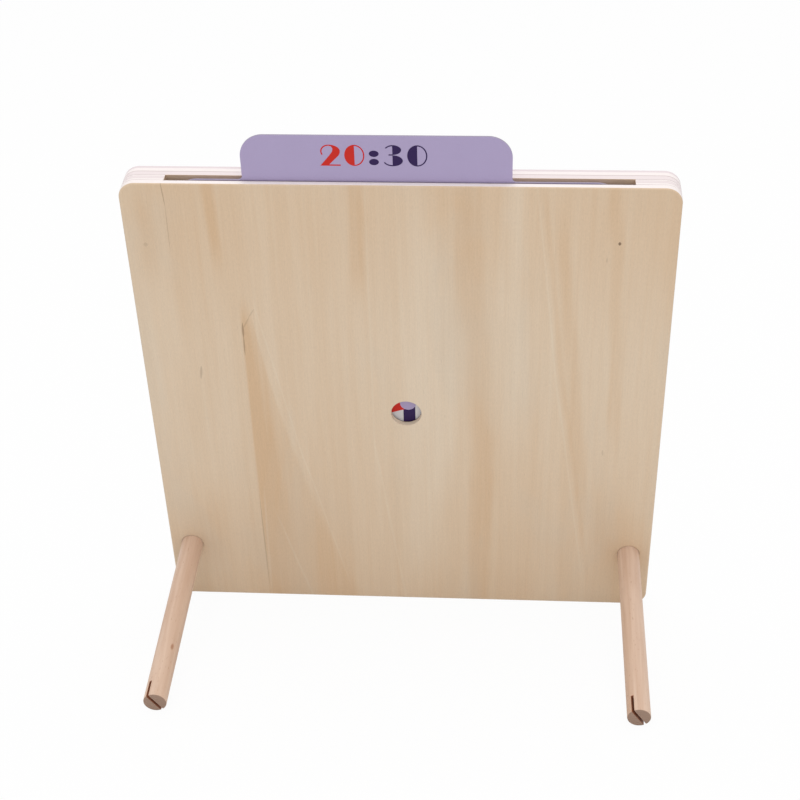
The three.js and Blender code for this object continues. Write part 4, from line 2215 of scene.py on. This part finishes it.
@dataclass
class Hands(SubAssembly):
    """Two painted wooden hands and the turned button over their screw."""

    hour_hand: HandShape = HandShape(62 * MM, 26 * MM, 11 * MM, 15 * MM, 15 * MM, 8.5)
    minute_hand: HandShape = HandShape(92 * MM, 23 * MM, 8 * MM, 11 * MM, 14 * MM, 6.0)
    bore: float = 3.2 * MM
    edge: float = 0.5 * MM
    dome: float = 3.2 * MM
    washer_room: Point = (6.5 * MM, 3.2 * MM)
    head_room: float = 0.25 * MM
    cap_easing: float = 0.2 * MM

    def build(self) -> None:
        """Make and hand over both hands and the button."""
        self.build_hand("hour_hand", self.hour_hand, "red_painted_wood", self.finishes.red_paint)
        violet = self.finishes.violet_paint
        self.build_hand("minute_hand", self.minute_hand, "violet_painted_wood", violet)
        self.build_cap()

    def build_hand(self, node: str, shape: HandShape, slot: str, finish: Material) -> None:
        """Cut one hand out, round its edges and bore it.

        Args:
            node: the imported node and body.
            shape: the hand's sizes.
            slot: the record's material slot.
            finish: its paint.
        """
        extent = self.extent(node)
        low, high = extent.low.y, extent.high.y
        hand = Drawing.blot(f"painted_{node}", shape.outline())
        place = Matrix.Translation((self.pivot.x, low, self.pivot.z))
        hand.matrix_world = place @ Matrix.Rotation(math.pi / 2, 4, "X")
        Bench.apply(hand)
        Bench.thicken(hand, low - high)
        Bench.ease(hand, self.edge, 60, 4)
        Bench.bore(hand, self.pivot, self.bore, low - MM, high + MM)
        Bench.smooth(hand, 40)
        self.shop.hand_over(hand, node, slot, finish, node)

    def build_cap(self) -> None:
        """Turn the button: a domed disc, hollow behind for the washer and the screw's head."""
        extent = self.extent("hub_cap")
        low, high = extent.low.y, extent.high.y
        cap = Bench.rod("painted_cap", extent.middle, extent.size.x / 2, low, high)
        Bench.round_rims(cap, self.dome, [low], 10)
        room, depth = self.washer_room
        Bench.bore(cap, extent.middle, room, high - depth, high + MM)
        head = self.extent("pivot_screw")
        radius = head.size.x / 2 + self.head_room
        Bench.bore(cap, extent.middle, radius, head.low.y - self.head_room, high - depth + MM)
        Bench.ease(cap, self.cap_easing, 50)
        Bench.smooth(cap, 40)
        finish = self.finishes.lavender_paint
        self.shop.hand_over(cap, "board", "lavender_painted_wood", finish, "hub_cap")


@dataclass
class Fittings(SubAssembly):
    """The metal and fibre pieces on the pivot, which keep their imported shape."""

    metal: tuple[str, ...] = ("pivot_sleeve_nut", "pivot_screw", "wave_washer", "cap_washer")
    fibre: tuple[str, ...] = ("dial_washer", "hand_washer")

    def build(self) -> None:
        """Give each fitting its finish."""
        for nodes, finish in ((self.metal, self.finishes.zinc), (self.fibre, self.finishes.fibre)):
            for node in nodes:
                materials = self.shop.axes.nodes[node].data.materials
                materials.clear()
                materials.append(finish)
                log.info("%s: %s", node, finish.name)


# --------------------------------------------------------------------------- studio


@dataclass(frozen=True)
class Lamp:
    """A square soft lamp that looks at the clock."""

    name: str
    place: tuple[float, float, float]
    size: float
    power: float

    def add(self, target: Vector) -> None:
        """Hang the lamp.

        Args:
            target: what it looks at.
        """
        data = bpy.data.lights.new(self.name, "AREA")
        data.shape = "SQUARE"
        data.size = self.size
        data.energy = self.power
        lamp = bpy.data.objects.new(self.name, data)
        bpy.context.scene.collection.objects.link(lamp)
        place = Vector(self.place)
        aim = (target - place).to_track_quat("-Z", "Y").to_matrix().to_4x4()
        lamp.matrix_world = Matrix.Translation(place) @ aim


@dataclass
class Studio:
    """A plain white table, soft light from above and behind the camera, and the camera."""

    target: Vector = Vector((0.0024, -0.022, 0.1376))
    distance: float = 0.8562
    azimuth: float = 184.108
    elevation: float = 22.77
    roll: float = -0.515
    lens: float = 73.1
    sensor: float = 36.0
    nearest: float = 0.01
    table_size: float = 12.0
    table_tone: float = 0.82
    table_white: float = 0.95
    ambient: float = 0.80
    lamps: tuple[Lamp, ...] = (
        Lamp("overhead", (0.0, 0.3, 3.2), 3.0, 37.0),
        Lamp("fill", (-0.4, 3.0, 1.3), 2.4, 11.0),
    )

    def build(self) -> None:
        """Set up the whole studio."""
        self.build_camera()
        self.build_table()
        self.build_world()
        for lamp in self.lamps:
            lamp.add(self.target)
        bpy.context.scene.view_settings.view_transform = "Standard"

    def build_camera(self) -> None:
        """Aim the camera at the board from behind and above."""
        turn = math.radians(self.azimuth)
        rise = math.radians(self.elevation)
        level = math.cos(rise)
        towards = Vector((math.sin(turn) * level, -math.cos(turn) * level, math.sin(rise)))
        data = bpy.data.cameras.new("camera")
        data.lens = self.lens
        data.sensor_width = self.sensor
        data.clip_start = self.nearest
        camera = bpy.data.objects.new("camera", data)
        bpy.context.scene.collection.objects.link(camera)
        aim = (-towards).to_track_quat("-Z", "Y").to_matrix().to_4x4()
        tilt = Matrix.Rotation(math.radians(self.roll), 4, "Z")
        camera.matrix_world = Matrix.Translation(self.target + towards * self.distance) @ aim @ tilt
        bpy.context.scene.camera = camera

    def build_table(self) -> None:
        """Lay the white table, which is brighter to the camera than to the clock on it."""
        Bench.clear()
        bpy.ops.mesh.primitive_plane_add(size=self.table_size)
        table = Bench.settle("table")
        material = bpy.data.materials.new("white table")
        material.use_nodes = True
        sheet = Sheet(material.node_tree)
        matt = sheet.add("ShaderNodeBsdfDiffuse")
        sheet.feed_named(matt, {"Color": (self.table_tone,) * 3})
        glow = sheet.add("ShaderNodeEmission")
        sheet.feed_named(glow, {"Strength": 1.0})
        surface = sheet.white_to_the_eye(matt, glow, self.table_white)
        sheet.show("ShaderNodeOutputMaterial", surface)
        table.data.materials.append(material)

    def build_world(self) -> None:
        """Light the clock evenly from all round, with plain white for the camera."""
        world = bpy.data.worlds.new("studio")
        world.use_nodes = True
        bpy.context.scene.world = world
        sheet = Sheet(world.node_tree)
        even, white = (sheet.add("ShaderNodeBackground") for _ in range(2))
        sheet.feed_named(even, {"Color": (1, 1, 1), "Strength": self.ambient})
        sheet.feed_named(white, {"Color": (1, 1, 1), "Strength": 1.0})
        sheet.show("ShaderNodeOutputWorld", sheet.white_to_the_eye(even, white, 1.0))


# --------------------------------------------------------------------------- making the clock


def main() -> None:
    """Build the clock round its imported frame, in order."""
    logging.basicConfig(level=logging.INFO, format="%(name)s: %(message)s")
    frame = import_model()
    axes = BoardAxes.from_frame(frame)
    finishes = Finishes(axes)
    shop = Workshop(axes)
    Studio().build()
    for sub_assembly in (LayeredBoard, Legs, TimeCard, Dial, Hands, Fittings):
        sub_assembly(shop, finishes).build()
    log.info("%d pieces made", shop.made)


if __name__ == "__main__":
    main()
